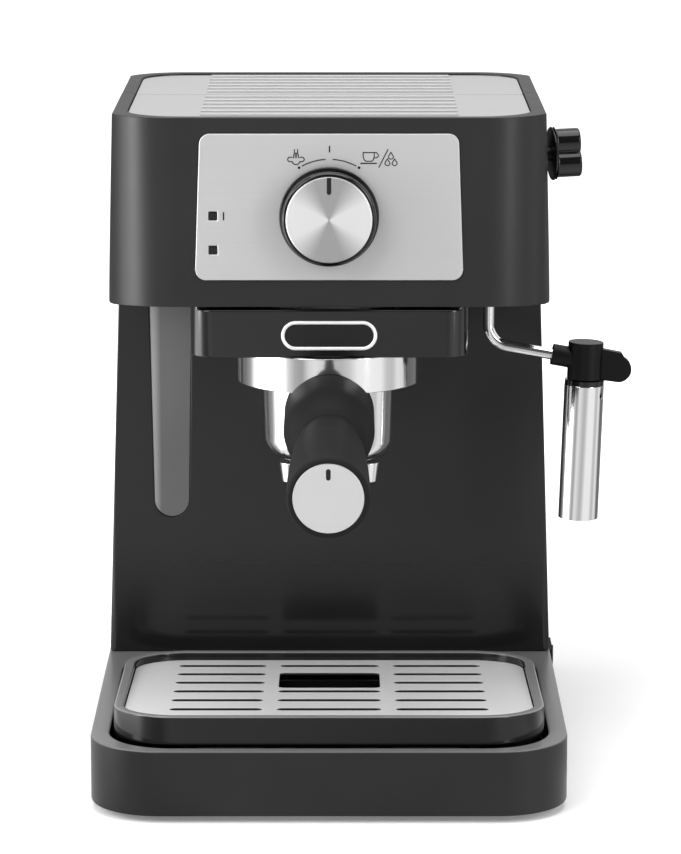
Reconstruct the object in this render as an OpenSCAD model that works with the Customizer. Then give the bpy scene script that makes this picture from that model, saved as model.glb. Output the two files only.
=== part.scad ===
// Pump espresso machine: base with drip basin and raised cup tray, column, head
// with boiler and bayonet group, portafilter, steam wand and lift-out water tank.
// Millimetres. x to the right, y to the back, z up, table at z = 0.

/* [Overall] */
// Width of the base across its two sides
base_w = 203; // [195:1:250]
// Depth from the front edge of the base to the back of the machine
body_d = 278; // [268:1:340]
// Height of the top rim above the table
body_h = 287.5; // [270:0.5:350]

/* [Base and trays] */
// Height of the rim of the base
base_h = 31.5; // [30:0.5:38]
// Width of the rim beside the tray recess
rim_w = 8; // [6:0.5:10]
// Plan radius of the front corners of the base
base_r = 30; // [24:1:36]
// Height of the rubber feet
foot_h = 3; // [2.5:0.1:3.6]
// Radius of a rubber foot
foot_r = 9; // [7.5:0.5:11]
// Thickness of the moulded floor of the base
floor_t = 1.6; // [1.3:0.1:2]
// Height of the side wall of the drip basin
basin_h = 14; // [11.5:0.5:15]
// Height of the front edge of the raised cup tray above the table
tray_top = 44; // [42:0.5:50]
// Backward slope of the cup tray
tray_tilt = 3.4; // [2.5:0.1:4]
// Height of the cup tray's wall
tray_wall_h = 12.4; // [11:0.1:13]
// Gap around each tray where it drops into the part below
tray_gap = 1.6; // [1:0.1:2]
// Thickness of the steel cup grid
grid_t = 1; // [0.8:0.1:1.2]

/* [Head and column] */
// Height of the head
head_h = 84; // [80:1:95]
// Distance from the front edge of the base back to the front of the head
head_y = 88; // [84:1:92]
// Distance from the front edge of the base back to the column
col_y = 170; // [169:1:178]
// Distance from the front edge of the base back to the tank lid's seam
split_y = 187.5; // [186:0.5:192]
// Wall thickness of the moulded shells
shell_t = 2.5; // [2:0.1:3]
// Width of the rim round the brushed top plates
top_rim = 6; // [5:0.5:8]
// Height of the water tank's lid
lid_h = 12; // [11:0.5:14]

/* [Front panel] */
// Half width of the panel at its top edge
panel_hx = 56; // [50:1:60]
// Height of the panel
panel_h = 63.9; // [60:0.1:66]
// Radius of the selector knob
knob_r = 21.5; // [18:0.5:24]
// Depth of the selector knob
knob_d = 12.4; // [10:0.1:15]
// Radius of the spun cap on the selector knob
cap_r = 18.6; // [16:0.1:20]
// Radius of the selector shaft
shaft_r = 3; // [2.5:0.1:3.5]

/* [Group and portafilter] */
// Distance from the front edge of the base back to the group's axis
group_y = 128; // [126:0.5:129]
// Outer radius of the polished collar
collar_r = 41.2; // [38.6:0.1:42]
// Height of the polished collar
collar_h = 15.7; // [15:0.1:18]
// Outer radius of the portafilter's bowl
bowl_r = 30.4; // [28.5:0.1:31.5]
// Depth of the bowl below the collar
bowl_drop = 34.7; // [33:0.1:37]
// Length of the handle from the group's axis to its tip
handle_len = 174.2; // [160:0.1:200]
// Downward slope of the handle
handle_tilt = 3.1; // [2:0.1:4]
// Radius of the handle's end
handle_r = 16.9; // [16:0.1:18.5]
// Half the distance between the two spout nozzles
spout_hx = 16.3; // [13:0.1:17]

/* [Steam] */
// Offset of the steam wand's pivot from the middle
wand_x = 70.5; // [68:0.5:74]
// Distance from the front edge of the base back to the wand's pivot
wand_y = 130; // [125:1:135]
// Radius of the wand's tube
tube_r = 2.5; // [2:0.1:3]
// Bend radius of the wand's tube
bend_r = 10; // [8:0.5:12]
// Sideways reach of the wand to the frother's axis
wand_reach = 43; // [40:0.5:50]
// Outer radius of the frother's sleeve
sleeve_r = 8.8; // [8:0.1:9.5]
// Length of the frother's sleeve
sleeve_len = 60.5; // [50:0.5:73]
// Lean of the frother towards the column's middle
sleeve_lean = 2; // [0:0.1:3]
// Radius at which the lobes of the steam knob sit
lobe_at = 5.4; // [4.5:0.1:6]
// Radius of each lobe of the steam knob
lobe_r = 6; // [5:0.1:6.5]

/* [Tank] */
// Gap between the tank and the walls it slides past
tank_gap = 0.8; // [0.5:0.1:1.2]
// Wall thickness of the tank
tank_t = 2; // [1.6:0.1:2.4]
// Depth of the tank's main chamber
tank_d = 56; // [48:1:60]
// Height of the shelf that carries the tank
shelf_z = 88; // [86:1:92]
// Radius of the lid's hinge pins
pin_r = 1.5; // [1.3:0.1:1.7]

/* [Hidden] */
$fn = 64;
e = 0.01;          // overshoot of a cut past the face that it opens
fit = 0.02;        // radial clearance of pressed parts
run = 0.05;        // radial clearance of shafts that turn
gap = 0.3;         // clearance between parts that move past each other

// Levels and half widths that follow the driving sizes
base_hx = base_w/2;
head_hx = base_hx - 7.5;
head_hx_low = base_hx - 4.8;
col_hx = base_hx - 0.5;
col_hx_top = base_hx - 6.2;
head_z = body_h - head_h;
cover_z = head_z - 20.3;
cover_top = head_z + 2.5;
collar_z = cover_z - 0.3 - collar_h;
rear_r = 12;
head_r = 30;
inner_x = base_hx - rim_w;
recess_front = 5.5;
recess_back = col_y - 6.3;
recess_r = base_r - 3;
plate_z = foot_h;
plate_t = 1.5;
floor_z = plate_z + plate_t + 0.1;
floor_top = floor_z + floor_t;
basin_z = floor_top + gap;
basin_t = 1.3;

// The frame's origin is under the middle of the whole machine
tab_r = 5.8;
tab_out = 14.6;
frother_x = wand_x + wand_reach;
x_max = frother_x + tab_out + tab_r;
frame_x = (x_max - base_hx)/2;
y_min = group_y - handle_len*cos(handle_tilt) - (handle_r)*sin(handle_tilt);
frame_y = (body_d + y_min)/2;
module in_frame() translate([-frame_x, -frame_y, 0]) children();

// Rectangle from x0 to x1 and y0 to y1 with front corners r0 and back corners r1
module plan(x0, x1, y0, y1, r0, r1) {
    translate([x0, y0 + r0]) square([x1 - x0, y1 - y0 - r0 - r1]);
    translate([x0 + r0, y0]) square([x1 - x0 - 2*r0, r0 + e]);
    translate([x0 + r1, y1 - r1 - e]) square([x1 - x0 - 2*r1, r1 + e]);
    for (x = [x0 + r0, x1 - r0]) translate([x, y0 + r0]) circle(r0);
    for (x = [x0 + r1, x1 - r1]) translate([x, y1 - r1]) circle(r1);
}
// Prism of a front view outline, from y0 back to y1
module front_prism(y0, y1) translate([0, y1, 0]) rotate([90, 0, 0]) linear_extrude(y1 - y0) children();
// Box from its lowest to its highest corner
module block(a, b) translate(a) cube(b - a);
// Ring sector between two radii, centred on an angle
module sector(r0, r1, mid, half, z0, z1)
    translate([0, 0, z0]) rotate([0, 0, mid - half]) rotate_extrude(angle = 2*half)
        translate([r0, 0]) square([r1 - r0, z1 - z0]);
module tube(r0, r1, z0, z1) translate([0, 0, z0]) difference() {
    cylinder(r = r1, h = z1 - z0);
    translate([0, 0, -1]) cylinder(r = r0, h = z1 - z0 + 2);
}

// ---- Base ----
screw_x = inner_x + rim_w*0.5;
screw_y = [60, 150, body_d - 30];
screw_r = 1.5;
foot_x = base_hx - 18;
foot_y = [30, body_d - 26];
boss_z = floor_z + 9;
switch_y = [178, 202];
switch_z = [17, 30.4];
switch_mid_y = (switch_y[0] + switch_y[1])/2;
switch_mid_z = (switch_z[0] + switch_z[1])/2;
switch_wall = 6;

module base_housing() color([0.22, 0.22, 0.23]) in_frame() difference() {
    translate([0, 0, plate_z]) linear_extrude(base_h - plate_z)
        plan(-base_hx, base_hx, 0, body_d, base_r, rear_r);
    // underside pocket for the bottom plate
    translate([0, 0, plate_z - 1]) linear_extrude(1 + floor_z - plate_z)
        plan(-base_hx + shell_t, base_hx - shell_t, shell_t, body_d - shell_t, base_r - shell_t,
            rear_r - shell_t);
    // recess that takes the drip basin and the cup tray
    translate([0, 0, floor_top]) linear_extrude(base_h)
        plan(-inner_x, inner_x, recess_front, recess_back, recess_r, recess_r);
    // open well under the column
    translate([0, 0, floor_top]) linear_extrude(base_h)
        plan(-inner_x + 1, inner_x - 1, col_y + shell_t, body_d - shell_t, 6, rear_r - shell_t);
    // pocket of the power switch
    block([base_hx - switch_wall, switch_y[0] + 1.2, switch_z[0] + 1.2],
          [base_hx + 1, switch_y[1] - 1.2, switch_z[1] - 1.2]);
    block([inner_x - 3, switch_y[0] + 2.4, switch_z[0] + 2.4],
          [base_hx, switch_y[1] - 2.4, switch_z[1] - 2.4]);
    // screw holes from below
    for (s = [-1, 1], y = screw_y) translate([s*screw_x, y, floor_z - e])
        cylinder(r = screw_r + fit, h = boss_z - floor_z + 1);
}
module base_plate() color([0.18, 0.18, 0.19]) in_frame() difference() {
    g = 0.2;
    translate([0, 0, plate_z]) linear_extrude(plate_t)
        plan(-base_hx + shell_t + g, base_hx - shell_t - g, shell_t + g, body_d - shell_t - g,
             base_r - shell_t, rear_r - shell_t);
    for (s = [-1, 1], y = screw_y) translate([s*screw_x, y, 0]) cylinder(r = screw_r + 0.2, h = 10);
    for (x = [-1, 1], y = foot_y) translate([x*foot_x, y, 0]) cylinder(r = 3 + fit, h = 10);
}
module feet() color([0.08, 0.08, 0.08]) in_frame() {
    for (x = [-1, 1], y = foot_y) translate([x*foot_x, y, 0]) {
        cylinder(r = foot_r, h = foot_h);
        cylinder(r = 3, h = foot_h + plate_t);
    }
}
module base_screws() color("silver") in_frame() {
    for (s = [-1, 1], y = screw_y) translate([s*screw_x, y, 0]) {
        translate([0, 0, plate_z]) cylinder(r = screw_r, h = boss_z - plate_z);
        translate([0, 0, plate_z - 1.4]) cylinder(r = 2.8, h = 1.4);
    }
}

// ---- Power switch on the right side ----
rocker_x = base_hx + 1.8;
rocker_tilt = 7;
module switch_frame() color([0.1, 0.1, 0.1]) in_frame() difference() {
    union() {
        block([base_hx, switch_y[0], switch_z[0]], [base_hx + 1.6, switch_y[1], switch_z[1]]);
        block([base_hx - switch_wall + 0.2, switch_y[0] + 1.4, switch_z[0] + 1.4],
              [base_hx + e, switch_y[1] - 1.4, switch_z[1] - 1.4]);
    }
    block([base_hx - switch_wall + 1.2, switch_y[0] + 2.2, switch_z[0] + 2.2],
          [base_hx + 3, switch_y[1] - 2.2, switch_z[1] - 2.2]);
    translate([rocker_pivot_x, switch_mid_y, switch_z[0] - 1]) cylinder(r = 0.8 + run, h = 20);
}
rocker_pivot_x = base_hx - 1.6;
module power_rocker() color([0.06, 0.06, 0.06]) in_frame() {
    hy = (switch_y[1] - switch_y[0])/2 - 2.7;
    hz = (switch_z[1] - switch_z[0])/2 - 2.6;
    reach = rocker_x - rocker_pivot_x;
    translate([rocker_pivot_x, switch_mid_y, switch_mid_z - hz]) rotate([0, 0, -rocker_tilt])
        linear_extrude(2*hz) polygon([[-0.4, -hy], [reach, -hy + 0.8], [reach - 0.7, 0],
                                      [reach, hy - 0.8], [-0.4, hy]]);
    translate([rocker_pivot_x, switch_mid_y, switch_z[0] + 1.6])
        cylinder(r = 0.8, h = switch_z[1] - switch_z[0] - 3.2);
}

// ---- Drip basin and raised cup tray ----
basin_gap = 0.7;
basin_x = inner_x - basin_gap;
basin_y = [recess_front + basin_gap, recess_back - basin_gap];
basin_r = recess_r - basin_gap;
basin_top = basin_z + basin_h;
slat_top = basin_z + basin_t + 3.2;
slat_x = 58;
slat_pitch = 9;
slat_w = 4;
slat_in = 12;
post_x = basin_x - 26;
post_r = 4;
post_y = [30, 138];
tray_x = inner_x - tray_gap;
tray_front = 9;
tray_back = recess_back - 5.6;
tray_r = 28;
tray_rim = 5.5;
// Height of the cup tray's lower edge at a distance y from the front edge
function tray_low(y) = tray_top - tray_wall_h - (y - tray_front)*tan(tray_tilt);

module drip_basin() color([0.05, 0.05, 0.055]) in_frame() {
    difference() {
        translate([0, 0, basin_z]) linear_extrude(basin_h)
            plan(-basin_x, basin_x, basin_y[0], basin_y[1], basin_r, basin_r);
        translate([0, 0, basin_z + basin_t]) linear_extrude(basin_h)
            plan(-basin_x + basin_t, basin_x - basin_t, basin_y[0] + basin_t, basin_y[1] - basin_t,
                 basin_r - basin_t, basin_r - basin_t);
    }
    // posts that carry the cup tray
    for (x = [-post_x, post_x], y = post_y) translate([x, y, basin_z + basin_t - e])
        cylinder(r = post_r, h = tray_low(y) - post_r*tan(tray_tilt) - 0.05 - basin_z - basin_t);
}
// Slats that carry a tall glass when the cup tray is off
module basin_slats() color([0.05, 0.05, 0.055]) in_frame()
    for (y = [basin_y[0] + slat_in : slat_pitch : basin_y[1] - slat_in])
        block([-slat_x, y - slat_w/2, basin_z + basin_t], [slat_x, y + slat_w/2, slat_top]);
// Frame in which the cup tray is level: origin at the front edge's top
module on_tray() translate([0, tray_front, tray_top]) rotate([-tray_tilt, 0, 0]) children();
tray_len = (tray_back - tray_front)/cos(tray_tilt);
grid_sink = 1.2;
grid_slope = 1.0;
plate_gap = 0.4;
module cup_tray_frame() color([0.1, 0.1, 0.1]) in_frame() on_tray() difference() {
    translate([0, 0, -tray_wall_h]) linear_extrude(tray_wall_h)
        plan(-tray_x, tray_x, 0, tray_len, tray_r, tray_r);
    translate([0, 0, -tray_wall_h - 1]) linear_extrude(tray_wall_h + 2)
        plan(-tray_x + tray_rim, tray_x - tray_rim, tray_rim, tray_len - tray_rim,
             tray_r - tray_rim, tray_r - tray_rim);
    // everything above the grid's underside stays clear
    rotate([-grid_slope, 0, 0]) translate([0, 0, -grid_sink - grid_t]) linear_extrude(20)
        plan(-tray_x + tray_rim - 1.2, tray_x - tray_rim + 1.2, tray_rim - 1.2, tray_len - tray_rim + 1.2,
             tray_r - tray_rim + 1, tray_r - tray_rim + 1);
}
// Cross ribs, long ribs between them, and pads below that stand on the basin's posts
pad_r = 6;
pad_h = 2;
rib_half = 1;
rib_top = -6;
module tray_ribs() color([0.1, 0.1, 0.1]) in_frame() on_tray() {
    z = [-tray_wall_h + pad_h, rib_top];
    across = [0.26*tray_len, 0.5*tray_len, 0.74*tray_len];
    from = concat([tray_rim + 0.2 - rib_half], across);
    to = concat(across, [tray_len - tray_rim - 0.2 + rib_half]);
    for (y = across)
        block([-tray_x + tray_rim, y - rib_half, z[0]], [tray_x - tray_rim, y + rib_half, z[1]]);
    for (x = [-post_x, post_x], i = [0 : len(to) - 1])
        block([x - rib_half, from[i] + rib_half + fit, z[0]], [x + rib_half, to[i] - rib_half - fit, z[1]]);
    for (x = [-post_x, post_x], y = post_y)
        translate([x, (y - tray_front)/cos(tray_tilt), -tray_wall_h]) cylinder(r = pad_r, h = pad_h - fit);
}
slot_rows = 6;
slot_w = 5.4;
slot_in = 28.5;
slot_out = 68;
drain_x = 22.3;
grid_x = tray_x - tray_rim + 1.2 - plate_gap;
module slot(x0, x1, y) {
    translate([x0 + slot_w/2, y - slot_w/2]) square([x1 - x0 - slot_w, slot_w]);
    for (x = [x0 + slot_w/2, x1 - slot_w/2]) translate([x, y]) circle(slot_w/2);
}
module cup_grid() color([0.82, 0.82, 0.82]) in_frame() on_tray() rotate([-grid_slope, 0, 0])
    translate([0, 0, -grid_sink - grid_t + 0.05]) linear_extrude(grid_t) difference() {
        g0 = tray_rim - 1.2 + plate_gap;
        g1 = tray_len - tray_rim + 1.2 - plate_gap;
        pitch = (g1 - g0 - 34)/(slot_rows - 1);
        plan(-grid_x, grid_x, g0, g1, tray_r - tray_rim + 0.6, tray_r - tray_rim + 0.6);
        for (i = [0 : slot_rows - 1]) {
            y = g0 + 19 + i*pitch;
            slot(-slot_out, -slot_in, y);
            slot(slot_in, slot_out, y);
            if (i != 3 && i != 4) slot(-drain_x, drain_x, y);
        }
        // drain opening below the spouts, in the place of two middle slots
        plan(-drain_x, drain_x, g0 + 19 + 3*pitch - 12.8, g0 + 19 + 4*pitch + 3.3, 3, 3);
    }

// ---- Column ----
win_mid = -(col_hx_top - 23.2);
win_hx_top = 9.7;
win_r = 8;
win_low_z = shelf_z + 15;
// Water level window: straight sides that narrow down to a round end
module window_shape(inset, top) {
    polygon([[win_mid - win_hx_top + inset, top], [win_mid - win_r + inset, win_low_z],
             [win_mid + win_r - inset, win_low_z], [win_mid + win_hx_top - inset, top]]);
    translate([win_mid, win_low_z]) circle(win_r - inset);
}
module column_outline(inset, z0, z1) {
    polygon([[-col_hx + inset, z0], [col_hx - inset, z0], [col_hx_top - inset, z1],
        [-col_hx_top + inset, z1]]);
}
tank_x = head_hx - 14;
col_top = head_z - 0.1;
panel_top = shelf_z;
module column_shell() color([0.16, 0.16, 0.165]) in_frame() difference() {
    intersection() {
        front_prism(col_y, body_d) column_outline(0, base_h + 0.05, col_top);
        linear_extrude(col_top) plan(-col_hx, col_hx, col_y, body_d, 3, rear_r);
    }
    intersection() {
        front_prism(col_y + shell_t, body_d - shell_t) column_outline(shell_t, base_h - 1, col_top + 1);
        linear_extrude(col_top + 1)
            plan(-col_hx, col_hx, col_y + shell_t, body_d - shell_t, 1, rear_r - shell_t);
    }
    // the back is open between the two side returns
    block([-tank_x - tank_gap, body_d - 20, base_h - 1], [tank_x + tank_gap, body_d + 1, col_top + 1]);
    front_prism(col_y - 1, col_y + shell_t + 1) window_shape(0, col_top - 6);
}
module water_window() color([0.45, 0.46, 0.47, 0.6]) in_frame() {
    front_prism(col_y + 0.6, col_y + 2.2) window_shape(0.15, col_top - 6.2);
    front_prism(col_y + shell_t, col_y + shell_t + 1.2) difference() {
        window_shape(-2, col_top - 4.2);
        window_shape(1.2, col_top - 7.4);
    }
}
vent_w = 2.4;
gland_x = -52;
gland_z = 50;
module rear_panel() color([0.12, 0.12, 0.12]) in_frame() difference() {
    block([-tank_x - tank_gap + 0.2, body_d - shell_t, base_h + 0.05],
          [tank_x + tank_gap - 0.2, body_d, panel_top - 0.05]);
    for (i = [0 : 8]) block([10 + i*6, body_d - 5, 44], [10 + vent_w + i*6, body_d + 1, 74]);
    translate([gland_x, body_d + 1, gland_z]) rotate([90, 0, 0]) cylinder(r = 8 + fit, h = 10);
}
gland_bore = 3.6;
gland_len = 12;
module cord_gland() color([0.07, 0.07, 0.07]) in_frame() translate([gland_x, body_d, gland_z])
    rotate([90, 0, 0])
    difference() {
        union() {
            cylinder(r = 8, h = gland_len);
            translate([0, 0, shell_t + 0.1]) cylinder(r = 10.5, h = 2.2);
        }
        translate([0, 0, -1]) cylinder(r = gland_bore, h = gland_len + 2);
    }
// Shelf under the tank, and the wall that closes its bay off from the works
bay_t = 2;
dock_x = 30;
tank_front = body_d - tank_d;
arm_x = [win_mid - 12, win_mid + 12];
arm_front = split_y + 3.5;
dock_y = body_d - tank_d/2;
dock_r = 9;
bay_side = arm_x[1] + 1.2;
bay_front = split_y + 0.1;
module tank_bay() color([0.3, 0.3, 0.31]) in_frame() difference() {
    union() {
        block([-base_hx + 8, col_y + shell_t + 3.2, shelf_z], [base_hx - 8, body_d - rear_r - 2,
            shelf_z + 3]);
        block([-tank_x, body_d - rear_r - 3, shelf_z], [tank_x, body_d - 0.3, shelf_z + 3]);
        block([bay_side, tank_front - 2 - bay_t, shelf_z + 3 - e], [tank_x + 8, tank_front - 2, bay_top]);
        block([bay_side, bay_front, shelf_z + 3 - e], [bay_side + bay_t, tank_front - 2, bay_top]);
        block([-tank_x - 8, bay_front, shelf_z + 3 - e], [bay_side + bay_t, bay_front + bay_t, bay_top]);
        block([bay_side, bay_front, bay_top - bay_t], [tank_x + 8, tank_front - 2, bay_top]);
        translate([dock_x, dock_y, shelf_z - 7]) cylinder(r = dock_r, h = 8);
    }
    front_prism(bay_front - 1, bay_front + bay_t + 1) window_shape(1, head_z - 6);
    translate([riser_x, riser_y, shelf_z - 1]) cylinder(r = hose_r + 0.3, h = 10);
    translate([dock_x, dock_y, shelf_z - 4]) cylinder(r = valve_r + 0.3, h = 10);
    translate([dock_x, dock_y, shelf_z - 9]) cylinder(r = 3, h = 10);
}

// ---- Head ----
bay_top = body_h - lid_h - 3;
seam_y = split_y - 0.2;
roof_z = body_h - 4;
head_back_r = head_r - 2;
chin_rise = 2.1;
chin_gap = 1.4;
plate_top = 0.9;
plate_th = 1.2;
panel_mid_z = head_z + 45.5;
module head_outline(inset, z0, z1) {
    polygon([[-head_hx_low + inset, z0], [head_hx_low - inset, z0], [head_hx - inset, z1],
        [-head_hx + inset, z1]]);
}
module head_shell() color([0.22, 0.22, 0.23]) in_frame() difference() {
    union() {
        difference() {
            intersection() {
                front_prism(head_y, body_d) head_outline(0, head_z, body_h);
                linear_extrude(body_h) plan(-head_hx_low, head_hx_low, head_y, body_d, head_r, head_back_r);
            }
            intersection() {
                front_prism(head_y + shell_t, body_d - shell_t) head_outline(shell_t, head_z - 1, roof_z);
                linear_extrude(roof_z) plan(-head_hx_low, head_hx_low, head_y + shell_t, body_d - shell_t,
                                            head_r - shell_t, head_back_r - shell_t);
            }
        }
        // wall that closes the works off from the tank's bay, above the bay's own wall
        block([-head_hx + shell_t - 0.4, seam_y - 2, bay_top - 3], [head_hx - shell_t + 0.4, seam_y,
            roof_z + e]);
        // posts of the lamps' board
        for (z = board_z) translate([board_x, head_y + shell_t - e, z]) rotate([-90, 0, 0]) {
            cylinder(r = 3, h = board_y - head_y - shell_t);
            cylinder(r = 1.5, h = board_y - head_y - shell_t + 2.4);
        }
    }
    // the lower edge rises a little towards the front
    translate([-base_hx, 0, 0]) rotate([90, 0, 90]) linear_extrude(base_w) polygon([
        [head_y - 1, head_z - 1], [head_y - 1, head_z + chin_rise], [head_y + 24, head_z], [head_y + 24,
            head_z - 1]]);
    // opening behind the seam, for the lid and the tank
    block([-base_hx, seam_y, body_h - lid_h - 0.2], [base_hx, body_d + 1, body_h + 1]);
    block([-tank_x - tank_gap, body_d - 30, head_z - 1], [tank_x + tank_gap, body_d + 1, body_h + 1]);
    // shallow recess of the cup warming plate
    translate([0, 0, body_h - plate_top - plate_th]) linear_extrude(5)
        plan(-head_hx + top_rim, head_hx - top_rim, head_y + top_rim, split_y + 20, head_r - top_rim, 1);
    // recess and shaft hole behind the panel
    front_prism(head_y - 1, head_y + 1.2) panel_shape(0);
    translate([0, head_y - 1, panel_mid_z - 3.8]) rotate([-90, 0, 0]) cylinder(r = neck_r + 0.1, h = 8);
    for (z = light_z) block([-52.2, head_y - 1, z - 2.2], [-47.8, head_y + 6, z + 2.2]);
    at_steam() translate([0, 0, -12]) cylinder(r = shaft_r + 1, h = 20);
}
module head_floor() color([0.14, 0.14, 0.14]) in_frame() difference() {
    g = shell_t + 0.3;
    translate([0, 0, cover_top]) linear_extrude(2.5)
        plan(-head_hx_low + g, head_hx_low - g, head_y + g, col_y + shell_t, head_r - g, 1);
    translate([0, group_y, 0]) cylinder(r = flange_r + 0.4, h = body_h);
    translate([wand_x, wand_y, 0]) cylinder(r = 5.6, h = body_h);
}
rib_w = 4.4;
rib_h = 0.8;
rib_pitch = 14.2;
rib_x = 56;
plate_ribs = 6;
lid_ribs = 6;
lid_rib_pitch = 13;
// Row of n ribs whose first lies at y0, standing on a plate at height z
module ribs(y0, n, z, pitch) for (i = [0 : n - 1])
    block([-rib_x, y0 + i*pitch - rib_w/2, z], [rib_x, y0 + i*pitch + rib_w/2, z + rib_h + e]);
module cup_warmer_plate() color([0.72, 0.72, 0.72]) in_frame() {
    g = 0.2;
    translate([0, 0, body_h - plate_top - plate_th]) linear_extrude(plate_th)
        plan(-head_hx + top_rim + g, head_hx - top_rim - g, head_y + top_rim + g, split_y - 0.4,
             head_r - top_rim - g, 1);
    ribs(head_y + 19, plate_ribs, body_h - plate_top - e, rib_pitch);
}

// ---- Front panel, lights and selector ----
light_z = [panel_mid_z - 3.8, panel_mid_z - 18.6];
panel_z = [panel_mid_z - panel_h/2, panel_mid_z + panel_h/2];
module panel_shape(inset) {
    c = 4.5;
    lo = panel_hx + 2 - inset;
    hi = panel_hx - inset;
    z0 = panel_z[0] + inset;
    z1 = panel_z[1] - inset;
    polygon([[-lo, z0 + c], [-lo + c, z0], [lo - c, z0], [lo, z0 + c],
             [hi, z1 - c], [hi - c, z1], [-hi + c, z1], [-hi, z1 - c]]);
    for (s = [-1, 1]) {
        translate([s*(lo - c - 0.1), z0 + c]) circle(c);
        translate([s*(hi - c), z1 - c]) circle(c);
    }
}
module control_panel() color([0.74, 0.74, 0.74]) in_frame() difference() {
    front_prism(head_y - 0.8, head_y + 1.1) panel_shape(0.2);
    translate([0, head_y - 2, panel_mid_z - 3.8]) rotate([-90, 0, 0]) cylinder(r = 7, h = 8);
    for (z = light_z) block([-51.9, head_y - 2, z - 1.9], [-48.1, head_y + 6, z + 1.9]);
}
module light(z) block([-51.7, head_y - 0.5, z - 1.7], [-48.3, head_y + 5.2, z + 1.7]);
module indicator_lights() color([0.08, 0.08, 0.08]) in_frame() for (z = light_z) light(z);
board_x = -64;
board_y = head_y + 5.4;
board_z = [panel_z[0] + 10, panel_z[1] - 18];
module control_board() color([0.1, 0.35, 0.15]) in_frame() difference() {
    block([board_x - 6, board_y, panel_z[0] + 4], [-30, board_y + 1.6, panel_z[1] - 12]);
    for (z = board_z) translate([board_x, head_y, z]) rotate([-90, 0, 0]) cylinder(r = 1.5 + fit, h = 12);
}
switch_hx = 15;
neck_r = 5.5;
module at_knob() translate([0, head_y, panel_mid_z - 3.8]) rotate([90, 0, 0]) children();
module selector_switch() color([0.85, 0.83, 0.75]) in_frame() at_knob() difference() {
    union() {
        translate([-switch_hx, -switch_hx, -20]) cube([2*switch_hx, 2*switch_hx, 17.3]);
        translate([0, 0, -3]) cylinder(r = neck_r, h = 3);
    }
    translate([0, 0, -18]) cylinder(r = shaft_r + run, h = 30);
}
knob_gap = 0.5;
pointer_w = 1.9;
pointer_len = 6.6;
knob_base = 0.8 + knob_gap;
module selector_knob() color([0.06, 0.06, 0.06]) in_frame() at_knob() difference() {
    union() {
        translate([0, 0, knob_base]) cylinder(r = knob_r, h = 3);
        translate([0, 0, knob_base]) cylinder(r = knob_r - 1.2, h = knob_d - 1.2);
        translate([0, 0, -17.7]) cylinder(r = shaft_r, h = 20 + knob_base);
    }
    // seat of the cap
    translate([0, 0, knob_base + knob_d - 2.4]) cylinder(r = cap_r + fit, h = 3);
}
module selector_cap() color([0.8, 0.8, 0.8]) in_frame() at_knob() difference() {
    translate([0, 0, knob_base + knob_d - 2.4]) cylinder(r = cap_r, h = 2.4);
    // pointer slot from the rim inwards, with a round end
    translate([0, 0, knob_base + knob_d - 0.8]) {
        translate([-pointer_w/2, cap_r - pointer_len, 0]) cube([pointer_w, 10, 3]);
        translate([0, cap_r - pointer_len, 0]) cylinder(r = pointer_w/2, h = 3);
    }
}

// ---- Group: cover, badge, collar, boiler ----
boiler_r = 30;
boiler_upper_r = 28;
cavity_r = 24;
flange_r = 35.8;
bolt_at = flange_r - 2.9;
nut_r = 2.8;
boiler_z = cover_z - 0.3;
join_z = boiler_z + 24;
boiler_top = join_z + 20.5;
coil_r = 2.4;
coil_z = boiler_z + 12;
cover_hx = 60.3;
cover_r = 10;
module group_cover() color([0.06, 0.06, 0.065]) in_frame() difference() {
    translate([0, 0, cover_z]) linear_extrude(cover_top - cover_z)
        plan(-cover_hx, cover_hx, head_y, col_y - 0.05, cover_r, 0.5);
    translate([0, 0, cover_z + shell_t]) linear_extrude(cover_top)
        plan(-cover_hx + shell_t, cover_hx - shell_t, head_y + shell_t, col_y + 1, cover_r - shell_t, 0.5);
    translate([0, group_y, 0]) cylinder(r = boiler_r + 0.4, h = body_h);
    // the front wall stops below the head, which it stands flush with
    block([-base_hx, 0, head_z + chin_rise - chin_gap], [base_hx, head_y + shell_t + 0.3, body_h]);
}
badge_hx = 20.8;
badge_hz = 6.4;
badge_z = cover_z + 9.9;
module stadium(inset) {
    r = badge_hz - inset;
    translate([-badge_hx + badge_hz, -r]) square([2*(badge_hx - badge_hz), 2*r]);
    for (s = [-1, 1]) translate([s*(badge_hx - badge_hz), 0]) circle(r);
}
module badge_rim() color([0.85, 0.85, 0.85]) in_frame() translate([0, 0, badge_z])
    front_prism(head_y - 1.2, head_y - 0.02) difference() {
        stadium(0);
        stadium(1.5);
    }
module badge_plate() color([0.1, 0.1, 0.1]) in_frame() translate([0, 0, badge_z])
    front_prism(head_y - 0.7, head_y - 0.02) stadium(1.5 + fit);
channel_r = collar_r - 2.9;
lip_r = bowl_r + 3.9;
lip_h = 2.6;
ear_half = 20;
ear_turn = 45;
module at_group() translate([0, group_y, 0]) children();
module group_collar() color([0.85, 0.85, 0.85]) in_frame() at_group() difference() {
    union() {
        tube(channel_r, collar_r, collar_z, collar_z + collar_h);
        tube(lip_r, channel_r + e, collar_z, collar_z + lip_h);
        tube(lip_r - 0.2, channel_r + e, collar_z + collar_h - 2.7, collar_z + collar_h);
    }
    for (a = [-ear_turn, 180 - ear_turn])
        sector(lip_r - 1, channel_r, a, ear_half + 3, collar_z - 1, collar_z + lip_h + 1);
}
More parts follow.
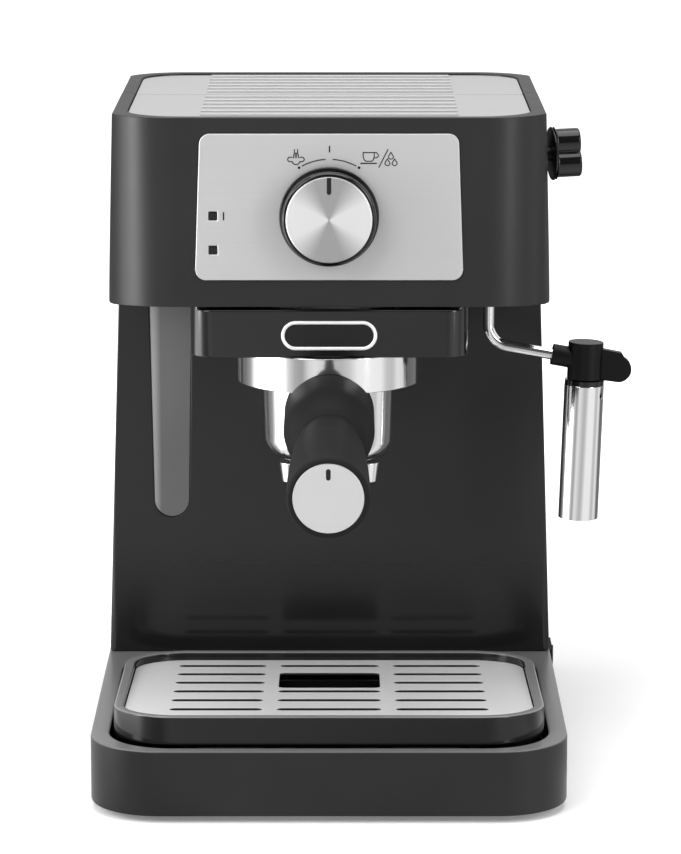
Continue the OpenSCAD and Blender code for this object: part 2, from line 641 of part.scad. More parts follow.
module boiler_lower() color([0.62, 0.62, 0.63]) in_frame() at_group() difference() {
    union() {
        translate([0, 0, boiler_z]) cylinder(r = boiler_r, h = join_z - boiler_z);
        translate([0, 0, join_z - 4]) cylinder(r = flange_r, h = 4);
        translate([0, 0, boiler_z - 2.7]) cylinder(r = lip_r - 0.4, h = 3);
    }
    translate([0, 0, boiler_z + 6]) cylinder(r = cavity_r, h = 60);
    translate([0, 0, boiler_z - 5]) cylinder(r = 2 + fit, h = 12);
    for (a = [30 : 60 : 330]) rotate([0, 0, a]) translate([bolt_at, 0, join_z - 5])
        cylinder(r = 1.75 + fit, h = 8);
}
module boiler_upper() color([0.66, 0.66, 0.67]) in_frame() at_group() difference() {
    union() {
        translate([0, 0, join_z]) cylinder(r = flange_r, h = 4);
        translate([0, 0, join_z]) cylinder(r = boiler_upper_r, h = boiler_top - join_z);
    }
    translate([0, 0, join_z - 1]) cylinder(r = cavity_r, h = boiler_top - join_z - 4);
    for (a = [30 : 60 : 330]) rotate([0, 0, a]) translate([bolt_at, 0, join_z - 5])
        cylinder(r = 1.75 + fit, h = 12);
    translate([pipe_x, 0, boiler_top - 8]) cylinder(r = pipe_r + fit, h = 10);
}
module boiler_bolts() color("silver") in_frame() at_group() {
    for (a = [30 : 60 : 330]) rotate([0, 0, a]) translate([bolt_at, 0, 0]) {
        translate([0, 0, join_z - 4]) cylinder(r = 1.75, h = 8);
        translate([0, 0, join_z + 4]) cylinder(r = nut_r, h = 2.6, $fn = 6);
        translate([0, 0, join_z - 6.6]) cylinder(r = nut_r, h = 2.6, $fn = 6);
    }
}
module heating_element() color([0.4, 0.38, 0.36]) in_frame() at_group() {
    translate([0, 0, coil_z]) rotate_extrude() translate([boiler_r + coil_r + 0.1, 0]) circle(coil_r);
    for (s = [-1, 1]) translate([s*5, boiler_r + coil_r, coil_z]) rotate([-90, 0, 0])
        cylinder(r = 1.6, h = col_y - group_y - boiler_r - coil_r - 2);
}
module thermostats() color([0.9, 0.9, 0.88]) in_frame() at_group() {
    for (p = [[-13, -2], [0, 14]]) translate([p[0], p[1], boiler_top + 0.02]) {
        cylinder(r = 7, h = 5);
        translate([-1.5, -5, 5 - e]) cube([3, 1, 5]);
        translate([-1.5, 4, 5 - e]) cube([3, 1, 5]);
    }
}
pipe_x = 16;
pipe_r = 3;
valve_x = [wand_x - 12, wand_x + 12];
valve_zc = body_h - 20.7;
module steam_pipes() color([0.8, 0.55, 0.35]) in_frame() {
    // from the boiler up and across to the valve
    at_group() {
        translate([pipe_x, 0, boiler_top - 5]) cylinder(r = pipe_r, h = valve_zc - boiler_top + 5);
        translate([pipe_x, 0, valve_zc]) sphere(pipe_r);
        translate([pipe_x, 0, valve_zc]) rotate([0, 90, 0])
            cylinder(r = pipe_r, h = valve_x[0] - pipe_x - 0.02);
    }
    // from the valve down to the wand's seat
    translate([wand_x, wand_y, seat_z + 10.4]) cylinder(r = 2.2, h = valve_zc - 10 - seat_z - 10.42);
}
module group_gasket() color([0.55, 0.3, 0.2]) in_frame() at_group()
    tube(25.6, lip_r - 0.6, collar_z + 9.1, collar_z + collar_h - 2.72);
module shower_screen() color([0.8, 0.8, 0.8]) in_frame() at_group() difference() {
    translate([0, 0, boiler_z - 4.2]) cylinder(r = 25.2, h = 1.48);
    for (r = [8, 14, 20], a = [0 : 30 : 330]) rotate([0, 0, a]) translate([r, 0, 0])
        cylinder(r = 0.9, h = body_h);
    cylinder(r = 2 + fit, h = body_h);
}
module shower_screw() color("silver") in_frame() at_group() {
    translate([0, 0, boiler_z - 4.3]) cylinder(r = 2, h = 9);
    translate([0, 0, boiler_z - 6.2]) cylinder(r = 4.2, h = 1.98);
}

// ---- Portafilter ----
bowl_top = collar_z + 8;
bowl_low = collar_z - bowl_drop;
bowl_in = bowl_r - 3.2;
basket_r = bowl_in - 1;
bowl_taper = 0.8;
shoulder = bowl_low + 8.5;
handle_z = bowl_low + 26.3;
module portafilter_body() color([0.86, 0.86, 0.86]) in_frame() at_group() difference() {
    union() {
        rotate_extrude() polygon([[0, bowl_low], [bowl_r - 9, bowl_low], [bowl_r - 4.6, bowl_low + 1.6],
            [bowl_r - 1.9, bowl_low + 4.6], [bowl_r - bowl_taper, shoulder], [bowl_r, collar_z + 2],
            [bowl_r + 2.2, collar_z + 4],
            [bowl_r + 2.2, bowl_top], [0, bowl_top]]);
        for (a = [0, 180]) sector(bowl_r + 1, channel_r - 0.8, a, ear_half, collar_z + lip_h + gap,
            collar_z + 7);
    }
    translate([0, 0, bowl_low + 6]) cylinder(r = bowl_in, h = 60);
    translate([0, 0, bowl_low - 1]) cylinder(r = 5 + fit, h = 20);
    at_handle_axis() cylinder(r = bolt_r + fit, h = 60);
}
module filter_basket() color([0.8, 0.8, 0.8]) in_frame() at_group() difference() {
    union() {
        translate([0, 0, bowl_low + 9]) cylinder(r = basket_r, h = bowl_top - bowl_low - 8);
        translate([0, 0, bowl_top + 0.02]) cylinder(r = bowl_r + 1.9, h = 0.8);
    }
    translate([0, 0, bowl_low + 9.8]) cylinder(r = basket_r - 0.8, h = 60);
    for (r = [6, 12, 18], a = [0 : 45 : 315]) rotate([0, 0, a]) translate([r, 0, 0])
        cylinder(r = 0.8, h = body_h);
}
nozzle_h = 11.9;
runner_r = 5;
module twin_spout() color([0.8, 0.8, 0.8]) in_frame() at_group() difference() {
    union() {
        translate([0, 0, bowl_low - 5]) cylinder(r = 9, h = 4.98);
        translate([0, 0, bowl_low - 8]) cylinder(r = 5, h = 13.5);
        translate([-spout_hx, 0, bowl_low - 6]) rotate([0, 90, 0]) cylinder(r = runner_r, h = 2*spout_hx);
        for (s = [-1, 1]) translate([s*spout_hx, 0, bowl_low - nozzle_h])
            cylinder(r1 = 5, r2 = 6.3, h = nozzle_h - 3);
    }
    for (s = [-1, 1]) translate([s*spout_hx, 0, bowl_low - nozzle_h - 1])
        cylinder(r = 3.4, h = nozzle_h - 4.5);
    translate([-spout_hx, 0, bowl_low - 6]) rotate([0, 90, 0]) cylinder(r = 2.6, h = 2*spout_hx);
    translate([0, 0, bowl_low - 6]) cylinder(r = 2.6, h = 20);
}
// Frame of the handle: local z runs from the group's axis out towards the tip
module at_handle_axis() translate([0, 0, handle_z]) rotate([90 + handle_tilt, 0, 0]) children();
bolt_r = 3;
hood_r = 19.6;
waist_r = 12.6;
mid_r = 15.4;
cap_in = 14.5;
module handle_grip() color([0.07, 0.07, 0.07]) in_frame() at_group() difference() {
    L = handle_len;
    at_handle_axis() difference() {
        // a hood over the root, a waist at its mouth, and a grip that widens to the tip
        rotate_extrude() polygon([[0, 24], [hood_r - 1, 24], [hood_r, 30], [hood_r, 63],
            [hood_r - 0.5, 68.5], [hood_r - 1.5, 73], [hood_r - 2.8, 77], [hood_r - 4.2, 80],
            [hood_r - 5.3, 81.3], [waist_r + 0.3, 82.2], [waist_r, 84], [waist_r + 0.3, 88],
            [waist_r + 1.2, 95], [mid_r - 0.6, 103], [mid_r, 110], [mid_r + 0.7, 124],
            [handle_r - 0.3, L - 36], [handle_r, L - 22], [handle_r, L - 1], [handle_r - 1, L], [0, L]]);
        translate([0, 0, L - 1.5]) cylinder(r = cap_in + fit, h = 5);
        cylinder(r = bolt_r + fit, h = 121);
    }
    // seat on the bowl, which narrows downwards
    translate([0, 0, 2*shoulder - collar_z - 2])
        cylinder(r1 = bowl_r - 2*bowl_taper + fit, r2 = bowl_r + fit, h = 2*(collar_z + 2 - shoulder));
    translate([0, 0, collar_z - 0.7]) cylinder(r = collar_r + 0.7, h = body_h);
}
module handle_cap() color([0.84, 0.84, 0.84]) in_frame() at_group() at_handle_axis()
    translate([0, 0, handle_len - 1.5 + 0.02]) cylinder(r = cap_in, h = 1.4);
module handle_bolt() color("silver") in_frame() at_group() at_handle_axis()
    translate([0, 0, bowl_in + 0.4]) cylinder(r = bolt_r, h = 118.9 - bowl_in);

// ---- Steam: valve, knob, wand, frother ----
steam_back = 8;
steam_up = 2;
steam_face = head_hx + (20.7/head_h)*(head_hx_low - head_hx);
module at_steam() translate([steam_face, wand_y, valve_zc]) rotate([0, 0, steam_back])
    rotate([0, 90 - steam_up, 0]) children();
module steam_valve_body() color([0.75, 0.65, 0.4]) in_frame() difference() {
    block([valve_x[0], wand_y - 10, valve_zc - 10], [valve_x[1], wand_y + 10, valve_zc + 10]);
    at_steam() translate([0, 0, -28]) cylinder(r = shaft_r + run, h = 40);
}
knob_off = 2.4;
module steam_spindle() color("silver") in_frame() at_steam()
    translate([0, 0, -27]) cylinder(r = shaft_r, h = 27 + knob_off + 8);
knob_h = 12.6;
knob_skirt = 1.6;
module steam_knob() color([0.08, 0.08, 0.08]) in_frame() at_steam() translate([0, 0, knob_off])
    difference() {
    union() {
        cylinder(r = lobe_at + lobe_r + 0.4, h = knob_skirt);
        translate([0, 0, knob_skirt - e]) linear_extrude(knob_h - knob_skirt)
            for (a = [80, 200, 320]) rotate(a) translate([lobe_at, 0]) rotate(180) circle(lobe_r);
    }
    translate([0, 0, -1]) cylinder(r = shaft_r + fit, h = 9.05);
}
seat_z = cover_top + 2.5;
module wand_seat() color([0.6, 0.6, 0.6]) in_frame() translate([wand_x, wand_y, 0])
    tube(5 + run, 9, seat_z, seat_z + 8);
module wand_pivot() color([0.8, 0.8, 0.8]) in_frame() translate([wand_x, wand_y, 0]) {
    tube(tube_r + fit, 5, seat_z - 2, seat_z + 8.4);
    tube(tube_r + fit, 7, seat_z + 8.3, seat_z + 10);
}
wand_slope = 10;
bend_z = head_z - 12.55;
arm_start = [wand_x + bend_r + bend_r*cos(270 - wand_slope), bend_z + bend_r*sin(270 - wand_slope)];
arm_len = (frother_x - 8.4 - arm_start[0])/cos(wand_slope);
// Local z along the sloping arm of the wand, from the end of its bend
module along_arm() translate([arm_start[0], wand_y, arm_start[1]]) rotate([0, 90 + wand_slope, 0])
    children();
module wand_tube() color([0.85, 0.85, 0.85]) in_frame() {
    translate([wand_x, wand_y, bend_z]) cylinder(r = tube_r, h = seat_z + 9.9 - bend_z);
    translate([wand_x + bend_r, wand_y, bend_z]) rotate([90, 0, 0]) rotate([0, 0, 180])
        rotate_extrude(angle = 90 - wand_slope) translate([bend_r, 0]) circle(tube_r - 0.05);
    along_arm() cylinder(r = tube_r, h = arm_len);
}
arm_end_z = arm_start[1] - tan(wand_slope)*(frother_x - arm_start[0]);
frother_top = arm_end_z + 8.2;
frother_low = arm_end_z - 8.4;
body_r = 7.8;
spigot_r = 5;
ring_h = 2.2;
sleeve_top = frother_low - gap;
// Frame of the frother, with local z up its leaning axis and its origin at the arm's height
module at_frother() translate([frother_x, wand_y, arm_end_z]) rotate([0, sleeve_lean, 0]) children();
module frother_body() color([0.07, 0.07, 0.07]) in_frame() difference() {
    union() {
        at_frother() translate([0, 0, frother_low - arm_end_z])
            cylinder(r = body_r, h = frother_top - frother_low);
        at_frother() translate([0, 0, sleeve_top - ring_h - 2 - arm_end_z]) cylinder(r = spigot_r, h = 8);
        at_frother() translate([0, 0, sleeve_top - 42 - arm_end_z]) cylinder(r = 3.2, h = 40);
        along_arm() translate([0, 0, arm_len - 6.6]) cylinder(r = 4.7, h = 9);
        translate([0, wand_y + 2.4, 0]) rotate([90, 0, 0]) linear_extrude(4.8) {
            polygon([[frother_x + 2, frother_top - 2], [frother_x + tab_out + 1.4, arm_end_z + 3.4],
                     [frother_x + tab_out + tab_r, arm_end_z - 4], [frother_x + tab_out, arm_end_z - 9.8],
                     [frother_x + 2, frother_low + 0.4]]);
            translate([frother_x + tab_out, arm_end_z - 4]) circle(tab_r);
        }
    }
    along_arm() translate([0, 0, -1]) cylinder(r = tube_r + fit, h = arm_len + 1.02);
    at_frother() translate([0, 0, -60]) cylinder(r = 1.4, h = 52);
}
module sleeve_ring() color([0.05, 0.05, 0.05]) in_frame() at_frother()
    tube(spigot_r + run, sleeve_r - 0.1, sleeve_top - ring_h - arm_end_z, sleeve_top - arm_end_z);
module frother_sleeve() color([0.85, 0.85, 0.85]) in_frame() at_frother() difference() {
    translate([0, 0, sleeve_top - ring_h - sleeve_len - arm_end_z])
        cylinder(r = sleeve_r, h = sleeve_len - 0.02);
    translate([0, 0, sleeve_top - ring_h - sleeve_len - 1 - arm_end_z])
        cylinder(r = sleeve_r - 0.8, h = sleeve_len + 0.2);
    translate([0, 0, -60]) cylinder(r = spigot_r + 0.6, h = 60);
    translate([0, 0, sleeve_top - ring_h - 4.5 - arm_end_z]) rotate([0, 90, -30])
        cylinder(r = 1.3, h = 20);
}

// ---- Water tank and lid ----
valve_r = 6;
tank_back_r = 8;
tank_z = shelf_z + 3 + gap;
tank_top = body_h - lid_h - 4;
hinge_y = body_d - 4.6;
hinge_z = body_h - lid_h + 4.7;
swing_r = hinge_z - (body_h - lid_h) - 0.1;
knuckle_x = 52;
knuckle_w = 7;
knuckle_r = 2.5;
module tank_solid(t, z0, z1) {
    translate([0, 0, z0]) linear_extrude(z1 - z0)
        plan(-tank_x + t, tank_x - t, tank_front + t, body_d - t, 6 - t, tank_back_r - t);
    translate([0, 0, z0]) linear_extrude(z1 - z0)
        plan(arm_x[0] + t, arm_x[1] - t, arm_front + t, tank_front + 20, 5 - t, 1);
}
module water_tank() color([0.35, 0.37, 0.4, 0.5]) in_frame() difference() {
    union() {
        difference() {
            tank_solid(0, tank_z, tank_top);
            tank_solid(tank_t, tank_z + tank_t, tank_top + 1);
        }
        translate([dock_x, dock_y, shelf_z - 3]) cylinder(r = valve_r, h = tank_z - shelf_z + 3 + tank_t);
        // two knuckles that carry the lid's pins
        for (s = [-1, 1]) translate([s*knuckle_x - knuckle_w/2, 0, 0]) {
            block([0, hinge_y - knuckle_r, tank_top - 9], [knuckle_w, body_d - tank_t + 0.5, tank_top]);
            block([0, hinge_y - knuckle_r, tank_top - 1], [knuckle_w, hinge_y + knuckle_r, hinge_z]);
            translate([0, hinge_y, hinge_z]) rotate([0, 90, 0]) cylinder(r = knuckle_r, h = knuckle_w);
        }
    }
    for (s = [-1, 1]) translate([s*knuckle_x - 10, hinge_y, hinge_z]) rotate([0, 90, 0])
        cylinder(r = pin_r + run, h = 20);
    translate([dock_x, dock_y, shelf_z - 5]) cylinder(r = 2.5, h = 20);
}
lid_z = body_h - lid_h;
ear_w = 5;
ear_r = 2.6;
module tank_lid() color([0.22, 0.22, 0.23]) in_frame() difference() {
    union() {
        difference() {
            intersection() {
                front_prism(split_y + 0.2, body_d) head_outline(0, head_z, body_h);
                translate([0, 0, lid_z]) linear_extrude(lid_h)
                    plan(-head_hx_low, head_hx_low, head_y, body_d, head_r, head_back_r);
            }
            intersection() {
                front_prism(split_y + 0.2 + shell_t, body_d - shell_t)
                    head_outline(shell_t, head_z, roof_z);
                linear_extrude(roof_z) plan(-head_hx_low, head_hx_low, head_y, body_d - shell_t,
                                            head_r, head_back_r - shell_t);
            }
            // room for the tank's knuckles
            for (s = [-1, 1]) block([s*knuckle_x - knuckle_w/2 - 0.5, hinge_y - 4, lid_z - 1],
                                    [s*knuckle_x + knuckle_w/2 + 0.5, body_d + 1,
                                        hinge_z + knuckle_r + 0.7]);
            // the back's lower edge is rolled round the hinge, so that it swings clear
            difference() {
                block([-base_hx, hinge_y, lid_z - 1], [base_hx, body_d + 1, hinge_z]);
                translate([-base_hx - 1, hinge_y, hinge_z]) rotate([0, 90, 0])
                    cylinder(r = swing_r, h = base_w + 2);
            }
        }
        for (s = [-1, 1], d = [-1, 1]) lid_ear(s*knuckle_x + d*(knuckle_w/2 + 0.5 + ear_w/2));
    }
    translate([0, 0, body_h - plate_top - plate_th]) linear_extrude(5)
        plan(-head_hx + top_rim, head_hx - top_rim, head_y, body_d - top_rim, 1, head_back_r - top_rim);
    for (s = [-1, 1]) translate([s*knuckle_x - 10, hinge_y, hinge_z]) rotate([0, 90, 0])
        cylinder(r = pin_r + fit, h = 20);
}
module lid_ear(x) translate([x - ear_w/2, 0, 0]) {
    block([0, hinge_y - ear_r, hinge_z], [ear_w, hinge_y + ear_r, roof_z + 0.1]);
    translate([0, hinge_y, hinge_z]) rotate([0, 90, 0]) cylinder(r = ear_r, h = ear_w);
}
module lid_pins() color("silver") in_frame() {
    for (s = [-1, 1]) translate([s*knuckle_x - 8, hinge_y, hinge_z]) rotate([0, 90, 0])
        cylinder(r = pin_r, h = 16);
}
module lid_plate() color([0.72, 0.72, 0.72]) in_frame() {
    g = 0.2;
    translate([0, 0, body_h - plate_top - plate_th]) linear_extrude(plate_th)
        plan(-head_hx + top_rim + g, head_hx - top_rim - g, split_y + 0.4, body_d - top_rim - g,
             1, head_back_r - top_rim - g);
    ribs(split_y + 12, lid_ribs, body_h - plate_top - e, lid_rib_pitch);
}

// ---- Pump and hoses under the tank ----
pump_r = 17;
pump_x = [10, 78];
pump_y = body_d - 40;
pump_z = 52;
module pump_body() color([0.25, 0.25, 0.28]) in_frame() translate([0, pump_y, pump_z]) {
    translate([pump_x[0], 0, 0]) rotate([0, 90, 0]) cylinder(r = pump_r, h = 40);
    translate([pump_x[0] + 40 - e, 0, 0]) rotate([0, 90, 0])
        cylinder(r = 8, h = pump_x[1] - pump_x[0] - 40);
    translate([pump_x[0] - 16, 0, 0]) rotate([0, 90, 0]) cylinder(r = 5, h = 16 + e);
}
module pump_mounts() color([0.1, 0.1, 0.1]) in_frame() for (x = [pump_x[0] + 4, pump_x[0] + 30])
    difference() {
    block([x, pump_y - pump_r - 4, floor_top], [x + 6, pump_y + pump_r + 4, pump_z + 6]);
    translate([x - 1, pump_y, pump_z]) rotate([0, 90, 0]) cylinder(r = pump_r + fit, h = 8);
}
hose_r = 3.2;
module suction_hose() {
    x = pump_x[0] - 18 - hose_r;
    translate([x, pump_y, pump_z]) rotate([0, 90, 0]) cylinder(r = hose_r, h = 18 + hose_r - 16 - 0.05);
    translate([x, pump_y, pump_z]) sphere(hose_r);
    translate([x, pump_y, pump_z]) cylinder(r = hose_r, h = 22);
    translate([x, pump_y, pump_z + 22]) sphere(hose_r);
    translate([x, pump_y, pump_z + 22]) rotate([-90, 0, 0]) cylinder(r = hose_r, h = dock_y - pump_y);
    translate([x, dock_y, pump_z + 22]) sphere(hose_r);
    translate([x, dock_y, pump_z + 22]) rotate([0, 90, 0]) cylinder(r = hose_r, h = dock_x - x);
    translate([dock_x, dock_y, pump_z + 22]) sphere(hose_r);
    translate([dock_x, dock_y, pump_z + 22]) cylinder(r = hose_r, h = shelf_z - 7.02 - pump_z - 22);
}
riser_x = pump_x[1] + 6;
riser_y = tank_front - 12;
feed_z = join_z + 10;
module pressure_hose() {
    translate([pump_x[1] + 0.05, pump_y, pump_z]) rotate([0, 90, 0]) cylinder(r = hose_r, h = 5.95);
    translate([riser_x, pump_y, pump_z]) sphere(hose_r);
    translate([riser_x, riser_y, pump_z]) rotate([-90, 0, 0]) cylinder(r = hose_r, h = pump_y - riser_y);
    translate([riser_x, riser_y, pump_z]) sphere(hose_r);
    translate([riser_x, riser_y, pump_z]) cylinder(r = hose_r, h = feed_z - pump_z);
    translate([riser_x, riser_y, feed_z]) sphere(hose_r);
    translate([0, riser_y, feed_z]) rotate([0, 90, 0]) cylinder(r = hose_r, h = riser_x);
    translate([0, riser_y, feed_z]) sphere(hose_r);
    translate([0, group_y + boiler_upper_r + 0.1, feed_z]) rotate([-90, 0, 0])
        cylinder(r = hose_r, h = riser_y - group_y - boiler_upper_r - 0.1);
}
module silicone_hoses() color([0.8, 0.8, 0.8]) in_frame() {
    suction_hose();
    pressure_hose();
}

base_housing();
base_plate();
feet();
base_screws();
column_shell();
rear_panel();
cord_gland();
head_shell();
head_floor();
cup_warmer_plate();
control_panel();
indicator_lights();
control_board();
selector_switch();
group_cover();
badge_rim();
badge_plate();
group_collar();
boiler_lower();
boiler_upper();
boiler_bolts();
heating_element();
thermostats();
shower_screen();
shower_screw();
group_gasket();
pump_body();
pump_mounts();
silicone_hoses();
steam_valve_body();
steam_pipes();
wand_seat();
water_window();
tank_bay();
switch_frame();
selector_knob();
selector_cap();
steam_knob();
steam_spindle();
wand_tube();
wand_pivot();
frother_body();
frother_sleeve();
sleeve_ring();
portafilter_body();
filter_basket();
twin_spout();
handle_grip();
handle_cap();
handle_bolt();
water_tank();
tank_lid();
lid_plate();
lid_pins();
drip_basin();
basin_slats();
cup_tray_frame();
tray_ribs();
cup_grid();
power_rocker();
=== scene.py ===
"""A pump espresso machine: base with drip basin and raised cup tray, column, head with
its bayonet group, portafilter, steam wand and lift-out water tank. Metres, +Z up."""
import math
import bmesh
import bpy
from mathutils import Matrix, Vector
from mathutils.bvhtree import BVHTree


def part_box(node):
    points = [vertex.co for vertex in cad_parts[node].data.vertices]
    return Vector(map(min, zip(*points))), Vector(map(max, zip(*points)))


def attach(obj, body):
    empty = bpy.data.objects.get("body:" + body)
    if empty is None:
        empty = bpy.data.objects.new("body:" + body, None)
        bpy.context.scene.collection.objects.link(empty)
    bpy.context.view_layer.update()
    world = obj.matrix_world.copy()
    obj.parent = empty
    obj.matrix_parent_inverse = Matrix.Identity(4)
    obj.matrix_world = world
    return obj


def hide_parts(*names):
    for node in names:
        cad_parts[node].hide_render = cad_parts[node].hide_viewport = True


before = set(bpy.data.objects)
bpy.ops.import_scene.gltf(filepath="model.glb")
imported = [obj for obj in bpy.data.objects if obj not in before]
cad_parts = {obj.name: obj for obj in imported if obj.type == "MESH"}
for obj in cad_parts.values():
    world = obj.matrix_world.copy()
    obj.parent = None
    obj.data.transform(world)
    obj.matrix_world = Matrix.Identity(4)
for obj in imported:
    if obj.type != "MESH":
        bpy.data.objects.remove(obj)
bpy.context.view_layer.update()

# ---- Studio ----
# A pale seamless floor, a white surround behind it and plain soft lamps: a wide one at
# the front left, a weaker one at the right, strips at both sides and one overhead.
MM = 0.001
base_low, base_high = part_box("base_housing")
middle_x = (base_low.x + base_high.x)/2
front_y = base_low.y
scene = bpy.context.scene
scene.view_settings.view_transform = "Standard"

class Value:
    """A shader socket that Python arithmetic works on."""
    def __init__(self, finish, socket):
        self.finish, self.socket = finish, socket
    def maths(self, operation, *terms):
        return self.finish.add("ShaderNodeMath", {"operation": operation}, terms)
    def __add__(self, other): return self.maths("ADD", self, other)
    def __radd__(self, other): return self.maths("ADD", other, self)
    def __sub__(self, other): return self.maths("SUBTRACT", self, other)
    def __rsub__(self, other): return self.maths("SUBTRACT", other, self)
    def __mul__(self, other): return self.maths("MULTIPLY", self, other)
    def __rmul__(self, other): return self.maths("MULTIPLY", other, self)
    def __truediv__(self, other): return self.maths("DIVIDE", self, other)
    def __pow__(self, other): return self.maths("POWER", self, other)

class Finish:
    """A node tree, built one node at a time, and its shader."""
    def __init__(self, name, tree=None):
        if tree is None:
            self.material = bpy.data.materials.new(name)
            self.material.use_nodes = True
            tree = self.material.node_tree
        self.tree = tree
        tree.nodes.clear()
    def add(self, kind, settings=None, values=(), output=0):
        node = self.tree.nodes.new(kind)
        for key, value in (settings or {}).items():
            if key == "stops":
                for i, (place, shade) in enumerate(value):
                    stop = node.color_ramp.elements[i] if i < 2 else node.color_ramp.elements.new(place)
                    stop.position, stop.color = place, shade
            else:
                setattr(node, key, value)
        for key, value in values.items() if isinstance(values, dict) else enumerate(values):
            if isinstance(value, Value):
                self.tree.links.new(value.socket, node.inputs[key])
            else:
                node.inputs[key].default_value = value
        return Value(self, node.outputs[output]) if node.outputs else node
    def spot(self):
        return self.add("ShaderNodeTexCoord", output="Object")
    def noise(self, scale, detail=2, where=None, roughness=0.5):
        return self.add("ShaderNodeTexNoise", {}, {
            "Vector": where or self.spot(), "Scale": scale, "Detail": detail, "Roughness": roughness})
    def stretched(self, x, y, z):
        return self.add("ShaderNodeVectorMath", {"operation": "MULTIPLY"}, [self.spot(), (x, y, z)])
    def blend(self, mask, a, b):
        return self.add("ShaderNodeMix", {"data_type": "RGBA"}, {0: mask, 6: a, 7: b}, output=2)
    def between(self, value, low, high, to_low, to_high):
        return self.add("ShaderNodeMapRange", {}, [value, low, high, to_low, to_high])
    def bump(self, height, depth, strength=1.0):
        return self.add("ShaderNodeBump", {}, {"Height": height, "Distance": depth, "Strength": strength})
    def shade(self, **sockets):
        names = {"colour": "Base Color", "rough": "Roughness", "metal": "Metallic", "normal": "Normal",
                 "specular": "Specular IOR Level"}
        shader = self.add("ShaderNodeBsdfPrincipled", {}, {names[k]: v for k, v in sockets.items()})
        self.add("ShaderNodeOutputMaterial", {}, [shader])
        return self.material

def grey(level):
    """Linear colour of an sRGB grey from 0 to 255."""
    share = level/255
    linear = share/12.92 if share <= 0.04045 else ((share + 0.055)/1.055)**2.4
    return (linear, linear, linear, 1.0)

world = bpy.data.worlds.new("studio")
scene.world = world
world.use_nodes = True
sky = Finish("studio", world.node_tree)
WHITE = (1.0, 1.0, 1.0, 1.0)
ambient = 0.42

def for_ray(kind, usual, special):
    """World strength that is another one for one kind of ray."""
    kind_of_ray = sky.add("ShaderNodeLightPath", output=kind)
    return sky.add("ShaderNodeMix", {"data_type": "FLOAT"}, {0: kind_of_ray, 2: usual, 3: special})

away = sky.add("ShaderNodeSeparateXYZ", {}, [sky.add("ShaderNodeTexCoord", output="Generated")], output=1)
darker_in_front = sky.between(away, -0.5, 0.35, 0.1, 1.0)
brightness = for_ray("Is Camera Ray", ambient, 1.0)
brightness = for_ray("Is Glossy Ray", brightness, darker_in_front)
brightness = for_ray("Is Transmission Ray", brightness, 0.9)
sky.add("ShaderNodeOutputWorld", {}, [sky.add("ShaderNodeBackground", {}, [WHITE, brightness])])

def lamp(name, place, aim, size, watts):
    light = bpy.data.lights.new(name, "AREA")
    light.shape, light.size, light.size_y, light.energy = "RECTANGLE", size[0], size[1], watts
    holder = bpy.data.objects.new(name, light)
    scene.collection.objects.link(holder)
    holder.location = place
    holder.rotation_euler = (Vector(aim) - Vector(place)).to_track_quat("-Z", "Y").to_euler()

lamp("front_left_lamp", (-1.3, -1.6, 1.5), (0, 0, 0.15), (1.1, 1.3), 24)
lamp("front_right_lamp", (1.5, -1.3, 1.1), (0, 0, 0.15), (0.9, 1.2), 13)
lamp("left_strip_lamp", (-1.31, -0.36, 0.45), (-0.1, 0, 0.2), (0.42, 1.2), 14)
lamp("right_strip_lamp", (1.05, -0.98, 0.45), (0.08, 0, 0.2), (0.16, 1.1), 4)
lamp("overhead_lamp", (0, -0.1, 1.7), (0, -0.05, 0.1), (1.5, 1.5), 20)

def make_object(name, mesh, *materials):
    for material in materials:
        mesh.materials.append(material)
    thing = bpy.data.objects.new(name, mesh)
    scene.collection.objects.link(thing)
    return thing

# Polished parts mirror the floor round the machine, so it carries the dark and bright
# bands of a studio there: stops by the angle from the front, in degrees.
BANDS = ((-180, 0.15), (-125, 0.2), (-113, 0.4), (-106, 1.0), (-98, 4.2), (-68, 4.2),
         (-54, 0.9), (-44, 0.5), (-34, 0.4), (-26, 0.8), (-18, 0.9), (-5, 0.75), (4, 0.6),
         (14, 0.55), (24, 0.7), (34, 1.0), (66, 1.0), (74, 0.65), (84, 0.6), (92, 0.9),
         (104, 0.8), (112, 0.15), (180, 0.35))
BRIGHTEST = max(level for angle, level in BANDS)
floor_finish = Finish("pale_floor")
ground = floor_finish.noise(6, 3)
lit = floor_finish.add("ShaderNodeBsdfPrincipled", {}, {
    "Base Color": floor_finish.blend(ground, grey(240), grey(246)), "Roughness": 0.7,
    "Specular IOR Level": 0.2})
flat = floor_finish.add("ShaderNodeSeparateXYZ", {}, [floor_finish.spot()])
flat_y = Value(floor_finish, flat.socket.node.outputs[1])
from_machine = (flat*flat + flat_y*flat_y)**0.5
glow = floor_finish.add("ShaderNodeEmission", {}, {
    "Color": WHITE, "Strength": floor_finish.add("ShaderNodeLightPath", output="Is Camera Ray")
    * floor_finish.between(from_machine, 0.2, 1.0, 0.16, 0.75)})
turn = floor_finish.add("ShaderNodeMath", {"operation": "ARCTAN2"}, [flat, 0 - flat_y])
bands = floor_finish.add("ShaderNodeValToRGB", {"stops": [
    ((angle + 180)/360, (*(level/BRIGHTEST,)*3, 1)) for angle, level in BANDS]}, [turn/math.tau + 0.5])
banded = floor_finish.add("ShaderNodeEmission", {}, {
    "Color": WHITE, "Strength": floor_finish.add("ShaderNodeMath", {"operation": "MINIMUM"}, [
        bands*BRIGHTEST, floor_finish.between(from_machine, 0.24, 0.42, 1.0, BRIGHTEST)])})
both = floor_finish.add("ShaderNodeAddShader", {}, [lit, glow])
floor_finish.add("ShaderNodeOutputMaterial", {}, [floor_finish.add("ShaderNodeMixShader", {}, [
    floor_finish.add("ShaderNodeLightPath", output="Is Glossy Ray"), both, banded])])
floor_mesh = bpy.data.meshes.new("floor")
reach = 9.0
